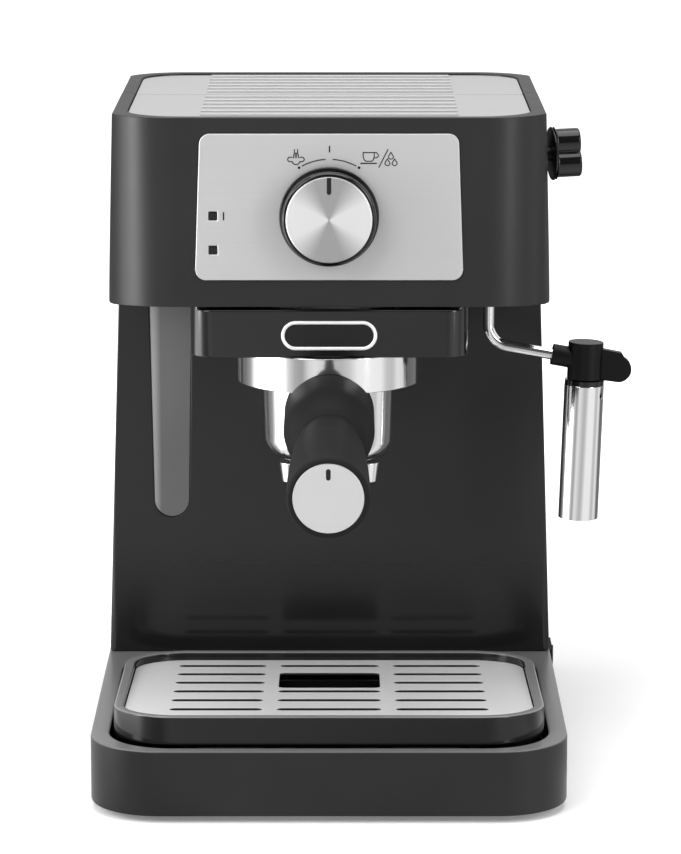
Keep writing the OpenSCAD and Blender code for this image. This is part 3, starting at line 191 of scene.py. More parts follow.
floor_mesh.from_pydata([(-reach, -reach, 0), (reach, -reach, 0), (reach, reach, 0), (-reach, reach, 0)],
                       [], [(0, 1, 2, 3)])
floor = make_object("floor", floor_mesh, floor_finish.material)

# Camera: a long lens a little above the machine, tipped 11 degrees down. Its focal length
# is 4000 rows of a frame that is 854 rows high.
lens = bpy.data.cameras.new("camera")
lens.sensor_width = 36.0
lens.lens = lens.sensor_width*4000/854
lens.clip_start, lens.clip_end = 0.05, 60
camera = bpy.data.objects.new("camera", lens)
scene.collection.objects.link(camera)
camera.location = (middle_x + 4.897*MM, front_y - 1617.66*MM, 484.31*MM)
camera.rotation_euler = (math.radians(90 - 11), 0, 0)
scene.camera = camera

# ---- Base ----
# One moulding of charcoal ABS with a fine spark-eroded grain. It holds the trays in front
# and is open below the column. Its edges are rounded off by half a millimetre or so.
def upright(slope):
    """Direction of a face that is level but for its slope towards the front, in degrees."""
    return (0.0, math.sin(math.radians(slope)), math.cos(math.radians(slope)))

def moulded(name, colour, rough, grain=0.35, depth=0.00003, scale=1500, specular=0.35,
            spread=0.06, rim=None):
    """Moulded plastic: an even colour with faint tone changes, a fine grain and a few duller
    patches. Where it lies above its rim's level (from and to in mm, slope in degrees, colour,
    roughness), it takes that colour and roughness: a painted highlight on the base and tray
    rims, a painted shade on the head's rim, and a second, satin finish up the column."""
    plastic = Finish(name)
    tone = plastic.between(plastic.noise(22, 3), 0.35, 0.65, 0.0, 1.0)
    lighter = tuple(min(1.0, channel*1.18) for channel in colour[:3]) + (1.0,)
    shown = plastic.blend(tone, colour, lighter)
    dull = rough - spread/2 + plastic.noise(60, 4)*spread
    if rim:
        start, stop, slope, rim_colour, rim_rough = rim
        level = plastic.add("ShaderNodeVectorMath", {"operation": "DOT_PRODUCT"}, [
            plastic.spot(), upright(slope)], output=1)
        above_rim = plastic.between(level, start*MM, stop*MM, 0.0, 1.0)
        shown = plastic.blend(above_rim, shown, rim_colour)
        dull = dull + above_rim*(rim_rough - rough)
    return plastic.shade(colour=shown, rough=dull, specular=specular,
                         normal=plastic.bump(plastic.noise(scale, 5), depth, grain))

def welded(node, fuse=0.003):
    """Copy of a CAD node's mesh: points nearer than `fuse` mm are merged and flat faces are whole."""
    shape = bmesh.new()
    shape.from_mesh(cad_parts[node].data)
    bmesh.ops.remove_doubles(shape, verts=shape.verts, dist=fuse*MM)
    bmesh.ops.dissolve_limit(shape, angle_limit=math.radians(0.4), verts=shape.verts, edges=shape.edges)
    return shape

def settle(name, shape, finish, body, replaced=(), crease=32):
    """Turns a bmesh into a piece that rides on a body, with smooth normals between its creases."""
    mesh = bpy.data.meshes.new(name)
    shape.to_mesh(mesh)
    shape.free()
    mesh.shade_smooth()
    mesh.set_sharp_from_angle(angle=math.radians(crease))
    piece = make_object(name, mesh, finish)
    even = piece.modifiers.new("even", "WEIGHTED_NORMAL")
    even.keep_sharp = True
    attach(piece, body)
    if replaced:
        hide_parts(*replaced)
    return piece

def refilled(shape, skin):
    """Fills a flat region again where a face leaves the skin, as a thin ring's can after its
    bevel. Each triangle is tried at a small grid of points on it."""
    stray, off_plane, tried = 0.5*MM, 0.05*MM, 8
    points = [((i + 0.33)/tried, (j + 0.33)/tried) for i in range(tried) for j in range(tried - i)]
    flawed = set()
    for first, second, third in shape.calc_loop_triangles():
        corner = first.vert.co
        along, across = second.vert.co - corner, third.vert.co - corner
        if along.cross(across).length > MM*MM and first.face not in flawed:
            if any(skin.find_nearest(corner + along*u + across*v)[3] > stray for u, v in points):
                flawed.add(first.face)
    mended = bool(flawed)
    while flawed:
        start = next(iter(flawed))
        up, level = start.normal.copy(), start.normal.dot(start.verts[0].co)
        region, waiting = {start}, [start]
        while waiting:
            for edge in waiting.pop().edges:
                for face in edge.link_faces:
                    if face not in region and all(abs(up.dot(vert.co) - level) < off_plane
                                                  for vert in face.verts):
                        region.add(face)
                        waiting.append(face)
        flawed -= region
        rim = [edge for edge in {edge for face in region for edge in face.edges}
               if sum(face in region for face in edge.link_faces) == 1]
        bmesh.ops.delete(shape, geom=list(region), context="FACES_KEEP_BOUNDARY")
        bmesh.ops.triangle_fill(shape, use_beauty=True, edges=rim, normal=up)
    if mended:
        bmesh.ops.recalc_face_normals(shape, faces=shape.faces)

def softened(name, node, width, finish, body, steps=2, angle=30, crease=32, fuse=0.05):
    """Stands for a CAD node, with every sharp edge rounded off by `width` mm. A corner that
    strays is put back on the node's skin."""
    shape = welded(node, fuse)
    skin = BVHTree.FromBMesh(shape)
    sharp = [edge for edge in shape.edges
             if edge.is_manifold and edge.calc_face_angle(0.0) > math.radians(angle)]
    bmesh.ops.bevel(shape, geom=sharp, offset=width*MM, segments=steps, profile=0.5,
                    affect="EDGES", clamp_overlap=False)
    for vert in shape.verts:
        nearest, normal, face, away = skin.find_nearest(vert.co)
        if away > (0.6*width + 0.02)*MM:
            vert.co = nearest
    shape.normal_update()
    refilled(shape, skin)
    return settle(name, shape, finish, body, [node], crease)

base_top = base_high.z/MM
# Its top rim is painted a lighter grey: a painted highlight where the top catches the light.
charcoal_base = moulded("charcoal_base", grey(31), 0.36, specular=0.26,
                        rim=(base_top - 0.8, base_top - 0.3, 0.0, grey(104), 0.3))
softened("base_moulding", "base_housing", 0.9, charcoal_base, "root", fuse=0.4)

# The bottom plate is a plainer moulding, held up by six screws.
grey_nylon = moulded("grey_nylon", grey(48), 0.55, grain=0.6, scale=900)
softened("bottom_plate", "base_plate", 0.3, grey_nylon, "root")

# ---- Rubber feet ----
# Four turned rubber feet with two grip rings underneath, each pressed into the bottom plate.
class Pattern(Finish):
    """A geometry tree with named sizes that repeats the mesh it is put on."""
    def __init__(self, name, finish, **sizes):
        tree = bpy.data.node_groups.new(name, "GeometryNodeTree")
        tree.interface.new_socket("Geometry", in_out="INPUT", socket_type="NodeSocketGeometry")
        kinds = {int: "NodeSocketInt", float: "NodeSocketFloat", tuple: "NodeSocketVector"}
        self.keys = {}
        for size, value in sizes.items():
            socket = tree.interface.new_socket(size, in_out="INPUT", socket_type=kinds[type(value)])
            self.keys[size] = socket.identifier
        tree.interface.new_socket("Geometry", in_out="OUTPUT", socket_type="NodeSocketGeometry")
        super().__init__(name, tree)
        self.finish, self.sizes = finish, sizes
        self.start = tree.nodes.new("NodeGroupInput")
    def size(self, name):
        return Value(self, self.start.outputs[name])
    def close(self, places, turn=None):
        """Puts the input mesh on every point, and ends the tree."""
        values = {"Points": places, "Instance": self.size("Geometry")}
        if turn is not None:
            values["Rotation"] = turn
        copies = self.add("GeometryNodeInstanceOnPoints", {}, values)
        real = self.add("GeometryNodeRealizeInstances", {}, [copies])
        painted = self.add("GeometryNodeSetMaterial", {}, {"Geometry": real, "Material": self.finish})
        self.add("NodeGroupOutput", {}, [painted])
    def grow(self, name, shape):
        """Runs the tree on a bmesh and returns the result as a plain bmesh."""
        mesh = bpy.data.meshes.new(name + "_one")
        shape.to_mesh(mesh)
        shape.free()
        seed = make_object(name + "_one", mesh, self.finish)
        modifier = seed.modifiers.new("pattern", "NODES")
        modifier.node_group = self.tree
        for size, value in self.sizes.items():
            modifier[self.keys[size]] = value
        bpy.context.view_layer.update()
        seen = seed.evaluated_get(bpy.context.evaluated_depsgraph_get())
        grown = bpy.data.meshes.new_from_object(seen)
        seed.modifiers.remove(modifier)
        bpy.data.objects.remove(seed)
        result = bmesh.new()
        result.from_mesh(grown)
        bpy.data.meshes.remove(grown)
        return result

def in_grid(name, finish, corner, counts, pitch):
    """Pattern that repeats a mesh over a flat grid of points from one corner."""
    pattern = Pattern(name, finish, Columns=counts[0], Rows=counts[1],
                      Corner=tuple(corner), Pitch=tuple(pitch))
    step = pattern.add("ShaderNodeSeparateXYZ", {}, [pattern.size("Pitch")])
    step_y = Value(pattern, step.socket.node.outputs[1])
    columns, rows = pattern.size("Columns"), pattern.size("Rows")
    wide, deep = (columns - 1)*step, (rows - 1)*step_y
    grid = pattern.add("GeometryNodeMeshGrid", {}, {
        "Size X": wide, "Size Y": deep, "Vertices X": columns, "Vertices Y": rows})
    half = pattern.add("ShaderNodeCombineXYZ", {}, [wide*0.5, deep*0.5, 0.0])
    offset = pattern.add("ShaderNodeVectorMath", {"operation": "ADD"}, [half, pattern.size("Corner")])
    moved = pattern.add("GeometryNodeSetPosition", {}, {"Geometry": grid, "Offset": offset})
    pattern.close(moved)
    return pattern

def in_ring(name, finish, centre, count, radius, first=0.0):
    """Pattern that repeats a mesh round an upright circle, each copy turned to face outwards."""
    pattern = Pattern(name, finish, Count=count, Radius=float(radius), First=float(first),
                      Centre=tuple(centre))
    index = pattern.add("GeometryNodeInputIndex")
    angle = index*math.tau/pattern.size("Count") + pattern.size("First")
    spokes = pattern.add("ShaderNodeCombineXYZ", {}, [
        pattern.add("ShaderNodeMath", {"operation": "COSINE"}, [angle])*pattern.size("Radius"),
        pattern.add("ShaderNodeMath", {"operation": "SINE"}, [angle])*pattern.size("Radius"), 0.0])
    round_centre = pattern.add("ShaderNodeVectorMath", {"operation": "ADD"}, [
        spokes, pattern.size("Centre")])
    places = pattern.add("GeometryNodePoints", {}, {
        "Count": pattern.size("Count"), "Position": round_centre})
    pattern.close(places, pattern.add("ShaderNodeCombineXYZ", {}, [0.0, 0.0, angle]))
    return pattern

def turned(profile, steps=48):
    """Closed solid of revolution about Z from (radius, height) pairs in millimetres, first and
    last on the axis. A third number waves that ring six times round, as in a star socket."""
    shape = bmesh.new()
    rings = []
    for radius, height, *wave in profile:
        if radius < 1e-6:
            rings.append([shape.verts.new((0, 0, height*MM))])
            continue
        ring = []
        for i in range(steps):
            angle = math.tau*i/steps
            reach = radius*(1 + (wave[0]*math.cos(6*angle) if wave else 0))*MM
            ring.append(shape.verts.new((reach*math.cos(angle), reach*math.sin(angle), height*MM)))
        rings.append(ring)
    for lower, upper in zip(rings, rings[1:]):
        for i in range(steps):
            j = (i + 1) % steps
            corners = [lower[i % len(lower)], lower[j % len(lower)],
                       upper[j % len(upper)], upper[i % len(upper)]]
            unique = list(dict.fromkeys(corners))
            if len(unique) > 2:
                shape.faces.new(unique)
    bmesh.ops.recalc_face_normals(shape, faces=shape.faces)
    return shape

def place(x, y, z):
    """Point in the frame, from millimetres right of the middle, back from the front edge, and up."""
    return Vector((middle_x + x*MM, front_y + y*MM, z*MM))

black_rubber = moulded("black_rubber", grey(20), 0.75, grain=0.8, depth=0.00006, scale=700, specular=0.25)
foot_low, foot_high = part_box("feet")
foot_r, stem_r = 9.0, 3.0
foot = turned([(0, 1.2), (3.2, 1.2), (3.6, 0.5), (4.4, 0.5), (4.8, 1.2), (5.6, 1.2), (6.0, 0.0),
               (7.6, 0.0), (8.6, 0.5), (foot_r, 1.4), (foot_r, 2.9), (stem_r, 2.9),
               (stem_r, 4.5), (0, 4.5)], 40)
feet_apart = foot_high - foot_low - Vector((2*foot_r*MM, 2*foot_r*MM, 0))
feet = in_grid("feet_grid", black_rubber, (foot_low.x + foot_r*MM, foot_low.y + foot_r*MM, 0),
               (2, 2), (feet_apart.x, feet_apart.y, 0))
settle("rubber_feet", feet.grow("foot", foot), black_rubber, "root", ["feet"])

# ---- Bottom screws ----
# Six zinc-plated self-tapping screws with pan heads and star sockets.
def darkened(colour, share):
    """The same colour at a share of its brightness."""
    return tuple(channel*share for channel in colour[:3]) + (1.0,)

def metal(name, colour, rough, scratch=0.2, scale=400, depth=0.00001, patch=14, metallic=1.0,
          tint=0.9, spread=0.08):
    """Bare metal: slight tone patches, uneven polish and very fine scratches."""
    bare = Finish(name)
    patches = bare.between(bare.noise(patch, 4), 0.3, 0.7, 0.0, 1.0)
    return bare.shade(
        colour=bare.blend(patches, darkened(colour, tint), colour), metal=metallic,
        rough=rough - spread/2 + bare.noise(90, 5)*spread,
        normal=bare.bump(bare.noise(scale, 6), depth, scratch))

zinc = metal("zinc_plate", grey(186), 0.32, scratch=0.5, scale=900)

def star_screw(radius, head_r, head_h, length, steps=36):
    """Pan-head screw that points up from its head, with a star socket and a rolled thread."""
    thread = []
    height = 0.6
    while height < length - 1.2:
        thread += [(radius*0.84, height), (radius, height + 0.3), (radius*0.84, height + 0.6)]
        height += 0.9
    head = [(0, -head_h*0.4), (head_r*0.4, -head_h*0.4, 0.16), (head_r*0.42, -head_h*0.95, 0.16),
            (head_r*0.62, -head_h), (head_r*0.88, -head_h*0.78), (head_r, -head_h*0.35),
            (head_r, 0), (radius, 0)]
    return turned(head + thread + [(radius*0.84, length - 0.7), (0, length)], steps)

def shifted(shape, x=0.0, y=0.0, z=0.0):
    """Moves a bmesh by millimetres, or by a frame vector given as x."""
    move = x if isinstance(x, Vector) else Vector((x, y, z))*MM
    bmesh.ops.translate(shape, verts=shape.verts, vec=move)
    return shape

def joined(*shapes):
    """All the bmeshes in one."""
    first, *others = shapes
    for other in others:
        scrap = bpy.data.meshes.new("scrap")
        other.to_mesh(scrap)
        other.free()
        first.from_mesh(scrap)
        bpy.data.meshes.remove(scrap)
    return first

screw_low, screw_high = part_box("base_screws")
screw_head_r, screw_seat_z = 2.8, 3.0
pairs_back = (60.0, 150.0, 248.0)
across = screw_high.x - screw_low.x - 2*screw_head_r*MM
under = []
for back in pairs_back:
    corner = (screw_low.x + screw_head_r*MM, front_y + back*MM, screw_seat_z*MM)
    pair = in_grid("screw_pair", zinc, corner, (2, 1), (across, 0.0, 0.0))
    under.append(pair.grow("screw", star_screw(1.5, screw_head_r, 1.4, 10.5)))
settle("bottom_screws", joined(*under), zinc, "root", ["base_screws"])

# ---- Column ----
# Glossy black moulding that stands in the base, open at the back for the tank. Its front
# has a faint orange peel, and the tray mirrors in its lower end.
column_black = moulded("column_black", grey(24), 0.1, grain=0.12, depth=0.00002, scale=260,
                       specular=0.3, spread=0.04, rim=(46.0, 84.0, 0.0, grey(36), 0.34))
softened("column_front", "column_shell", 0.7, column_black, "root", fuse=0.3)

# ---- Rear panel and cord bushing ----
# A satin black panel with vent slots. Its bushing is soft moulded rubber, with bending rings
# round the bore and a flange on each side of the panel.
softened("rear_closure", "rear_panel", 0.3, moulded("vent_black", grey(24), 0.5), "root")
gland_low, gland_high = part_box("cord_gland")
bore_r, gland_len = 3.6, 12.0
bushing = turned([(bore_r, 0), (8.0, 0), (8.0, 2.45), (10.5, 2.45), (10.5, 4.4), (10.1, 4.8), (8.0, 4.8),
                  (8.0, 6.4), (7.4, 7.0), (7.4, 7.8), (8.0, 8.4), (8.0, 9.4), (7.4, 10.0), (7.4, 10.8),
                  (7.8, 11.4), (7.4, gland_len), (bore_r, gland_len), (bore_r, 0)], 40)
bmesh.ops.remove_doubles(bushing, verts=bushing.verts, dist=1e-7)
gland_middle = (gland_low + gland_high)/2
bushing.transform(Matrix.Translation((gland_middle.x, gland_high.y, gland_middle.z))
                  @ Matrix.Rotation(math.pi/2, 4, "X"))
settle("cord_bushing", bushing, black_rubber, "root", ["cord_gland"])

# ---- Water level window ----
# Smoked polycarbonate strip with a narrow frame behind it. It shows the grey tank inside.
window_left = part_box("water_window")[0].x
smoke = Finish("smoked_clear")
depth_tone = smoke.between(smoke.noise(9, 2), 0.3, 0.7, 0.0, 1.0)
from_left = smoke.add("ShaderNodeSeparateXYZ", {}, [smoke.spot()]) - (window_left + 2*MM)
# Near the left edge the smoke is painted lighter: a painted highlight along that edge.
painted_edge_highlight = smoke.between(from_left, 1.2*MM, 5.0*MM, 1.0, 0.0)
smoke_tone = smoke.blend(depth_tone, grey(88), grey(104))
smoked = smoke.shade(colour=smoke.blend(painted_edge_highlight, smoke_tone, grey(160)), specular=0.4,
                     rough=0.16 + smoke.noise(70, 3)*0.08,
                     normal=smoke.bump(smoke.noise(500, 3), 0.00001, 0.2))
softened("level_window", "water_window", 0.25, smoked, "root")

# ---- Head ----
# Satin charcoal moulding with rounded front corners, over the works. A thin floor closes it
# below. Its upper rim is rougher than its sides and painted a little darker: painted shade that tones down
# the light the rim reflects.
head_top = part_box("head_shell")[1].z/MM
charcoal = moulded("charcoal_abs", grey(31), 0.36,
                   rim=(head_top - 0.6, head_top - 0.1, 0.0, grey(26), 0.52))
softened("head_moulding", "head_shell", 0.35, charcoal, "root", fuse=0.3)
softened("head_underside", "head_floor", 0.3, grey_nylon, "root")

# ---- Cup warmer and its ribs ----
# Brushed stainless plate let into the head's top, with six pressed ribs that keep cups off it.
def brushed(name, colour, rough, metallic=0.55, depth=0.000006, tone=0.96):
    """Brushed metal: fine parallel scratches, drawn out along X."""
    bare = Finish(name)
    long, fine = 6.0, 1800.0
    lines = bare.noise(1.0, 4, bare.stretched(long, fine, fine), 0.6)
    shown = bare.blend(bare.between(lines, 0.3, 0.7, 0.0, 1.0), darkened(colour, tone), colour)
    return bare.shade(colour=shown, metal=metallic, rough=rough - 0.05 + bare.noise(40, 3)*0.1,
                      normal=bare.bump(lines, depth, 0.5))

top_steel = brushed("brushed_steel", grey(172), 0.44, depth=0.000004)

def rounded_bar(length, width, height, round_off=0.6, steps=3):
    """Bar along X on the plane z = 0, with rounded upper edges, in millimetres."""
    bar = bmesh.new()
    bmesh.ops.create_cube(bar, size=1.0)
    bmesh.ops.scale(bar, verts=bar.verts, vec=(length*MM, width*MM, height*MM))
    shifted(bar, z=height/2)
    upper = [edge for edge in bar.edges if all(v.co.z > 0.0001*height for v in edge.verts)]
    bmesh.ops.bevel(bar, geom=upper, offset=round_off*MM, segments=steps, profile=0.5, affect="EDGES")
    return bar

def rounded_outline(x0, x1, y0, y1, front_r, back_r, steps=14):
    """Corner-rounded rectangle, anticlockwise from the front left, in millimetres."""
    corners = ((x1 - back_r, y1 - back_r, back_r), (x0 + back_r, y1 - back_r, back_r),
               (x0 + front_r, y0 + front_r, front_r), (x1 - front_r, y0 + front_r, front_r))
    outline = []
    for quarter, (x, y, r) in enumerate(corners):
        for i in range(steps + 1):
            angle = math.radians(90*quarter + 90*i/steps)
            outline.append((x + r*math.cos(angle), y + r*math.sin(angle)))
    return outline

def slab(outline, low, high, round_off=0.2, steps=2):
    """Flat prism on an outline, its rims rounded off, in millimetres."""
    shape = bmesh.new()
    lower = [shape.verts.new((x*MM, y*MM, low*MM)) for x, y in outline]
    upper = [shape.verts.new((x*MM, y*MM, high*MM)) for x, y in outline]
    shape.faces.new(lower[::-1])
    shape.faces.new(upper)
    for i in range(len(outline)):
        j = (i + 1) % len(outline)
        shape.faces.new([lower[i], lower[j], upper[j], upper[i]])
    if round_off:
        rims = [edge for edge in shape.edges if abs(edge.verts[0].co.z - edge.verts[1].co.z) < 1e-7]
        bmesh.ops.bevel(shape, geom=rims, offset=round_off*MM, segments=steps, profile=0.5, affect="EDGES")
    return shape

def ribbed_plate(name, node, body, outline, first_rib, pitch):
    """A let-in plate with its row of six ribs, which runs from the first rib back."""
    top, sheet, rise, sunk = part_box(node)[1].z/MM, 1.2, 0.8, 0.02
    plate = shifted(slab(outline, top - rise - sheet, top - rise, 0.25), place(0, 0, 0))
    start = place(0, first_rib, top - rise - sunk)
    bars = in_grid(name + "_rows", top_steel, start, (1, 6), (0.0, pitch*MM, 0.0))
    rows = bars.grow(name, rounded_bar(112.0, 4.4, rise, 0.45))
    return settle(name, joined(plate, rows), top_steel, body, [node])

half_plate, seam_r = 87.4, 0.8
warmer_outline = rounded_outline(-half_plate, half_plate, 94.6, 187.1, 23.4, seam_r)
lid_outline = rounded_outline(-half_plate, half_plate, 187.9, 271.4, seam_r, 21.4)
ribbed_plate("cup_warmer", "cup_warmer_plate", "root", warmer_outline, 107.0, 14.2)
ribbed_plate("lid_top", "lid_plate", "lid", lid_outline, 199.5, 13.0)

# ---- Front panel ----
# Satin aluminium panel let into the head, with its symbols printed in dark grey: steam,
# standby and coffee round the selector, and a bar mark beside the upper light.
panel_silver = brushed("panel_silver", grey(200), 0.4)
softened("selector_panel", "control_panel", 0.55, panel_silver, "root", steps=3)
panel_face = 87.2
ink = moulded("grey_ink", grey(40), 0.6, grain=0.1, specular=0.2)

def arc(x, z, rx, rz, start, stop, steps=12):
    """Points round a centre, from one angle in degrees to another."""
    angles = [math.radians(start + (stop - start)*i/steps) for i in range(steps + 1)]
    return [(x + rx*math.cos(angle), z + rz*math.sin(angle)) for angle in angles]

def stroke(points, width, shape, proud=0.05, closed=False):
    """Printed line through (x, z) points in millimetres, with round ends and joints. It lies
    proud of the panel by a hair, and its dots by a hair more."""
    ends = list(zip(points, points[1:] + points[:1])) if closed else list(zip(points, points[1:]))
    half = width*0.72
    for (x0, z0), (x1, z1) in ends:
        run = math.hypot(x1 - x0, z1 - z0) or 1.0
        nx, nz = -(z1 - z0)/run*half, (x1 - x0)/run*half
        ribbon = [(x0 + nx, z0 + nz), (x0 - nx, z0 - nz), (x1 - nx, z1 - nz), (x1 + nx, z1 + nz)]
        shape.faces.new([shape.verts.new(place(x, panel_face - proud, z)) for x, z in ribbon])
    for x, z in points:
        rim = arc(x, z, half, half, 0, -324, 9)
        shape.faces.new([shape.verts.new(place(u, panel_face - proud*1.02, w)) for u, w in rim])

symbols = bmesh.new()
# Steam: a cloud with three lobes, and the jets that rise from it.
stroke(arc(-16.6, 269.75, 1.15, 1.0, 60, 290), 0.34, symbols)
stroke(arc(-14.15, 269.3, 1.75, 1.75, 195, 345), 0.34, symbols)
stroke(arc(-11.8, 269.75, 1.15, 1.0, -110, 120), 0.34, symbols)
stroke([(-15.35, 270.4), (-14.95, 272.2), (-14.8, 274.0)], 0.34, symbols)
stroke([(-14.5, 270.4), (-14.35, 272.6)], 0.26, symbols)
stroke([(-13.85, 270.4), (-14.0, 272.6)], 0.26, symbols)
stroke([(-12.95, 270.4), (-13.4, 272.2), (-13.55, 274.0)], 0.34, symbols)
# Standby: a plain tick, between two sweeps to the other positions.
stroke([(0.2, 273.0), (0.2, 275.4)], 0.45, symbols)
dial_z, sweep_r = 245.2, 24.6
for start, stop in ((62, 86), (94, 118)):
    stroke(arc(0, dial_z, sweep_r, sweep_r, start, stop), 0.36, symbols)
for x, z in arc(0, dial_z, sweep_r, sweep_r, 58.5, 121.5, 1):
    stroke(arc(x, z, 0.25, 0.25, 0, 300, 5), 0.5, symbols)
# Coffee: a cup with its ear on a saucer, a slanted bar and three drops.
stroke([(14.6, 272.7), (19.35, 272.7), (19.35, 270.9), (18.9, 269.5), (18.2, 268.95),
        (15.9, 268.95), (15.1, 269.5), (14.6, 270.9)], 0.34, symbols, closed=True)
stroke([(13.6, 268.05), (20.3, 268.05)], 0.42, symbols)
stroke([(19.5, 272.7), (20.3, 272.7), (21.1, 271.7), (21.1, 271.1), (20.2, 270.4),
        (19.5, 270.4)], 0.32, symbols)
stroke([(21.4, 266.4), (25.2, 274.0)], 0.34, symbols)
for x, z in ((26.5, 269.9), (25.0, 267.1), (28.1, 267.1)):
    stroke([(x, z + 2.9)] + arc(x, z + 0.95, 1.05, 0.95, 20, -200), 0.32, symbols, closed=True)
# On: a short bar beside the upper light.
stroke([(-45.4, 243.7), (-45.4, 246.7)], 0.5, symbols)
settle("panel_symbols", symbols, ink, "root")

# ---- Indicator lights ----
# Two square light guides of smoked black acrylic that stand a little proud of the panel.
acrylic = moulded("black_acrylic", grey(6), 0.08, grain=0.05, specular=0.5)
softened("light_guides", "indicator_lights", 0.35, acrylic, "root", steps=3)

# ---- Selector knob ----
# Gloss black phenolic ring on a shaft, with a fine bright line where the cap is rolled in.
# The cap is spun aluminium with concentric tool marks and a black pointer slot. Its colour
# has a painted highlight: lighter to the left and right of the centre, darker above and below.
knob_black = moulded("knob_black", grey(10), 0.13, grain=0.05, specular=0.5)

def facing_front(y, z):
    """Matrix that turns a shape made along +Z out of the front, at millimetres."""
    return Matrix.Translation(place(0, y, z)) @ Matrix.Rotation(math.pi/2, 4, "X")

knob_base, floor_of_cup = 86.7, 10.1
ring = turned([(0, 0), (20.9, 0), (21.5, 0.6), (21.5, 2.4), (21.1, 3.0), (20.5, 3.1), (20.3, 3.6),
               (20.3, 9.9), (20.0, 10.7), (19.5, 11.1), (19.1, 11.2), (18.9, 11.0),
               (18.65, floor_of_cup), (0, floor_of_cup)], 128)
ring.transform(facing_front(knob_base, dial_z))
shaft = turned([(0, -17), (2.6, -17), (3.0, -16.6), (3.0, 0.2), (0, 0.2)], 32)
shaft.transform(facing_front(knob_base, dial_z))
settle("selector_ring", joined(ring, shaft), knob_black, "selector", ["selector_knob"])

spun = Finish("spun_metal")
from_axis = spun.add("ShaderNodeVectorMath", {"operation": "SUBTRACT"}, [
    spun.spot(), tuple(place(0, 0, dial_z))])
in_face = spun.add("ShaderNodeVectorMath", {"operation": "MULTIPLY"}, [from_axis, (1, 0, 1)])
off_axis = spun.add("ShaderNodeVectorMath", {"operation": "LENGTH"}, [in_face], output=1)
tool_marks = spun.add("ShaderNodeTexNoise", {"noise_dimensions": "1D"}, {
    "W": off_axis, "Scale": 11000.0, "Detail": 2})
sideways = spun.add("ShaderNodeSeparateXYZ", {}, [in_face])
# Painted highlight: the colour is lighter left and right of the axis and darker above and below, the
# bow-tie sheen of spun metal painted in.
painted_bowtie = spun.between(sideways*sideways/(off_axis*off_axis + 1e-7), 0.12, 0.8, 0.0, 1.0)
bright_tone = spun.blend(painted_bowtie, grey(168), grey(232))
darker_tone = spun.blend(painted_bowtie, grey(150), grey(214))
spun_metal = spun.shade(colour=spun.blend(tool_marks, darker_tone, bright_tone), metal=0.55,
                        rough=0.36 + tool_marks*0.08, normal=spun.bump(tool_marks, 0.000022, 1.0))
cap_thick, cap_base = 2.4, knob_base - floor_of_cup + 0.08
cap = turned([(0, 0), (18.5, 0), (18.5, 1.9), (18.3, 2.2), (17.9, cap_thick), (0, cap_thick)], 128)
cap.transform(facing_front(cap_base, dial_z))
settle("selector_cap", cap, spun_metal, "selector", ["selector_cap"])
slot_half, slot_top, slot_end = 0.95, 18.3, 11.9
slot_outline = [(-slot_half, slot_top), *arc(0, slot_end, slot_half, slot_half, 180, 360, 8),
                (slot_half, slot_top)]
slot = slab(slot_outline, cap_thick - 0.02, cap_thick + 0.06, 0)
slot.transform(facing_front(cap_base, dial_z))
settle("selector_pointer", slot, knob_black, "selector")

# ---- Group cover and badge ----
# Gloss black cover under the head. Its badge is a plain dark plate in a rounded, polished
# rim, both pressed into the front wall, and nothing is written on it.
cover_black = moulded("cover_black", grey(13), 0.12, grain=0.1, depth=0.00002, scale=260,
                      specular=0.6, spread=0.04)
softened("group_housing", "group_cover", 0.8, cover_black, "root", steps=3)
chrome = metal("bright_chrome", grey(236), 0.11, scratch=0.1, scale=300, spread=0.04, tint=0.95)
rim_chrome = metal("rim_chrome", grey(244), 0.3, scratch=0.1, metallic=0.35, tint=0.97)
softened("badge_frame", "badge_rim", 0.6, rim_chrome, "root", steps=3)
badge_black = moulded("badge_black", grey(20), 0.3, specular=0.4)
softened("badge_field", "badge_plate", 0.2, badge_black, "root")

# ---- Group collar ----
# Turned and polished steel ring with two ear slots, the seat of the portafilter.
softened("locking_collar", "group_collar", 0.5, chrome, "root", steps=3)

# ---- Boiler and works ----
# Two die-cast aluminium halves bolted together, with a sheathed heater round them, two
# thermostats on top, a vibration pump in rubber cradles, silicone hoses and copper pipes.
cast = metal("cast_aluminium", grey(168), 0.48, scratch=0.9, scale=350, depth=0.00006, metallic=0.9)
softened("boiler_half_lower", "boiler_lower", 0.4, cast, "root")
softened("boiler_half_upper", "boiler_upper", 0.4, cast, "root")
join_z, bolts_at_r, group_back = 206.9, 32.9, 128.0

def half_bolt():
    """The upper half of a bolt with its hexagon nut, from the join up."""
    return turned([(0, 6.6), (2.0, 6.6), (2.45, 6.2), (2.45, 4.6), (3.0, 4.5), (3.0, 4.0),
                   (1.7, 3.9), (1.7, 0), (0, 0)], 6)

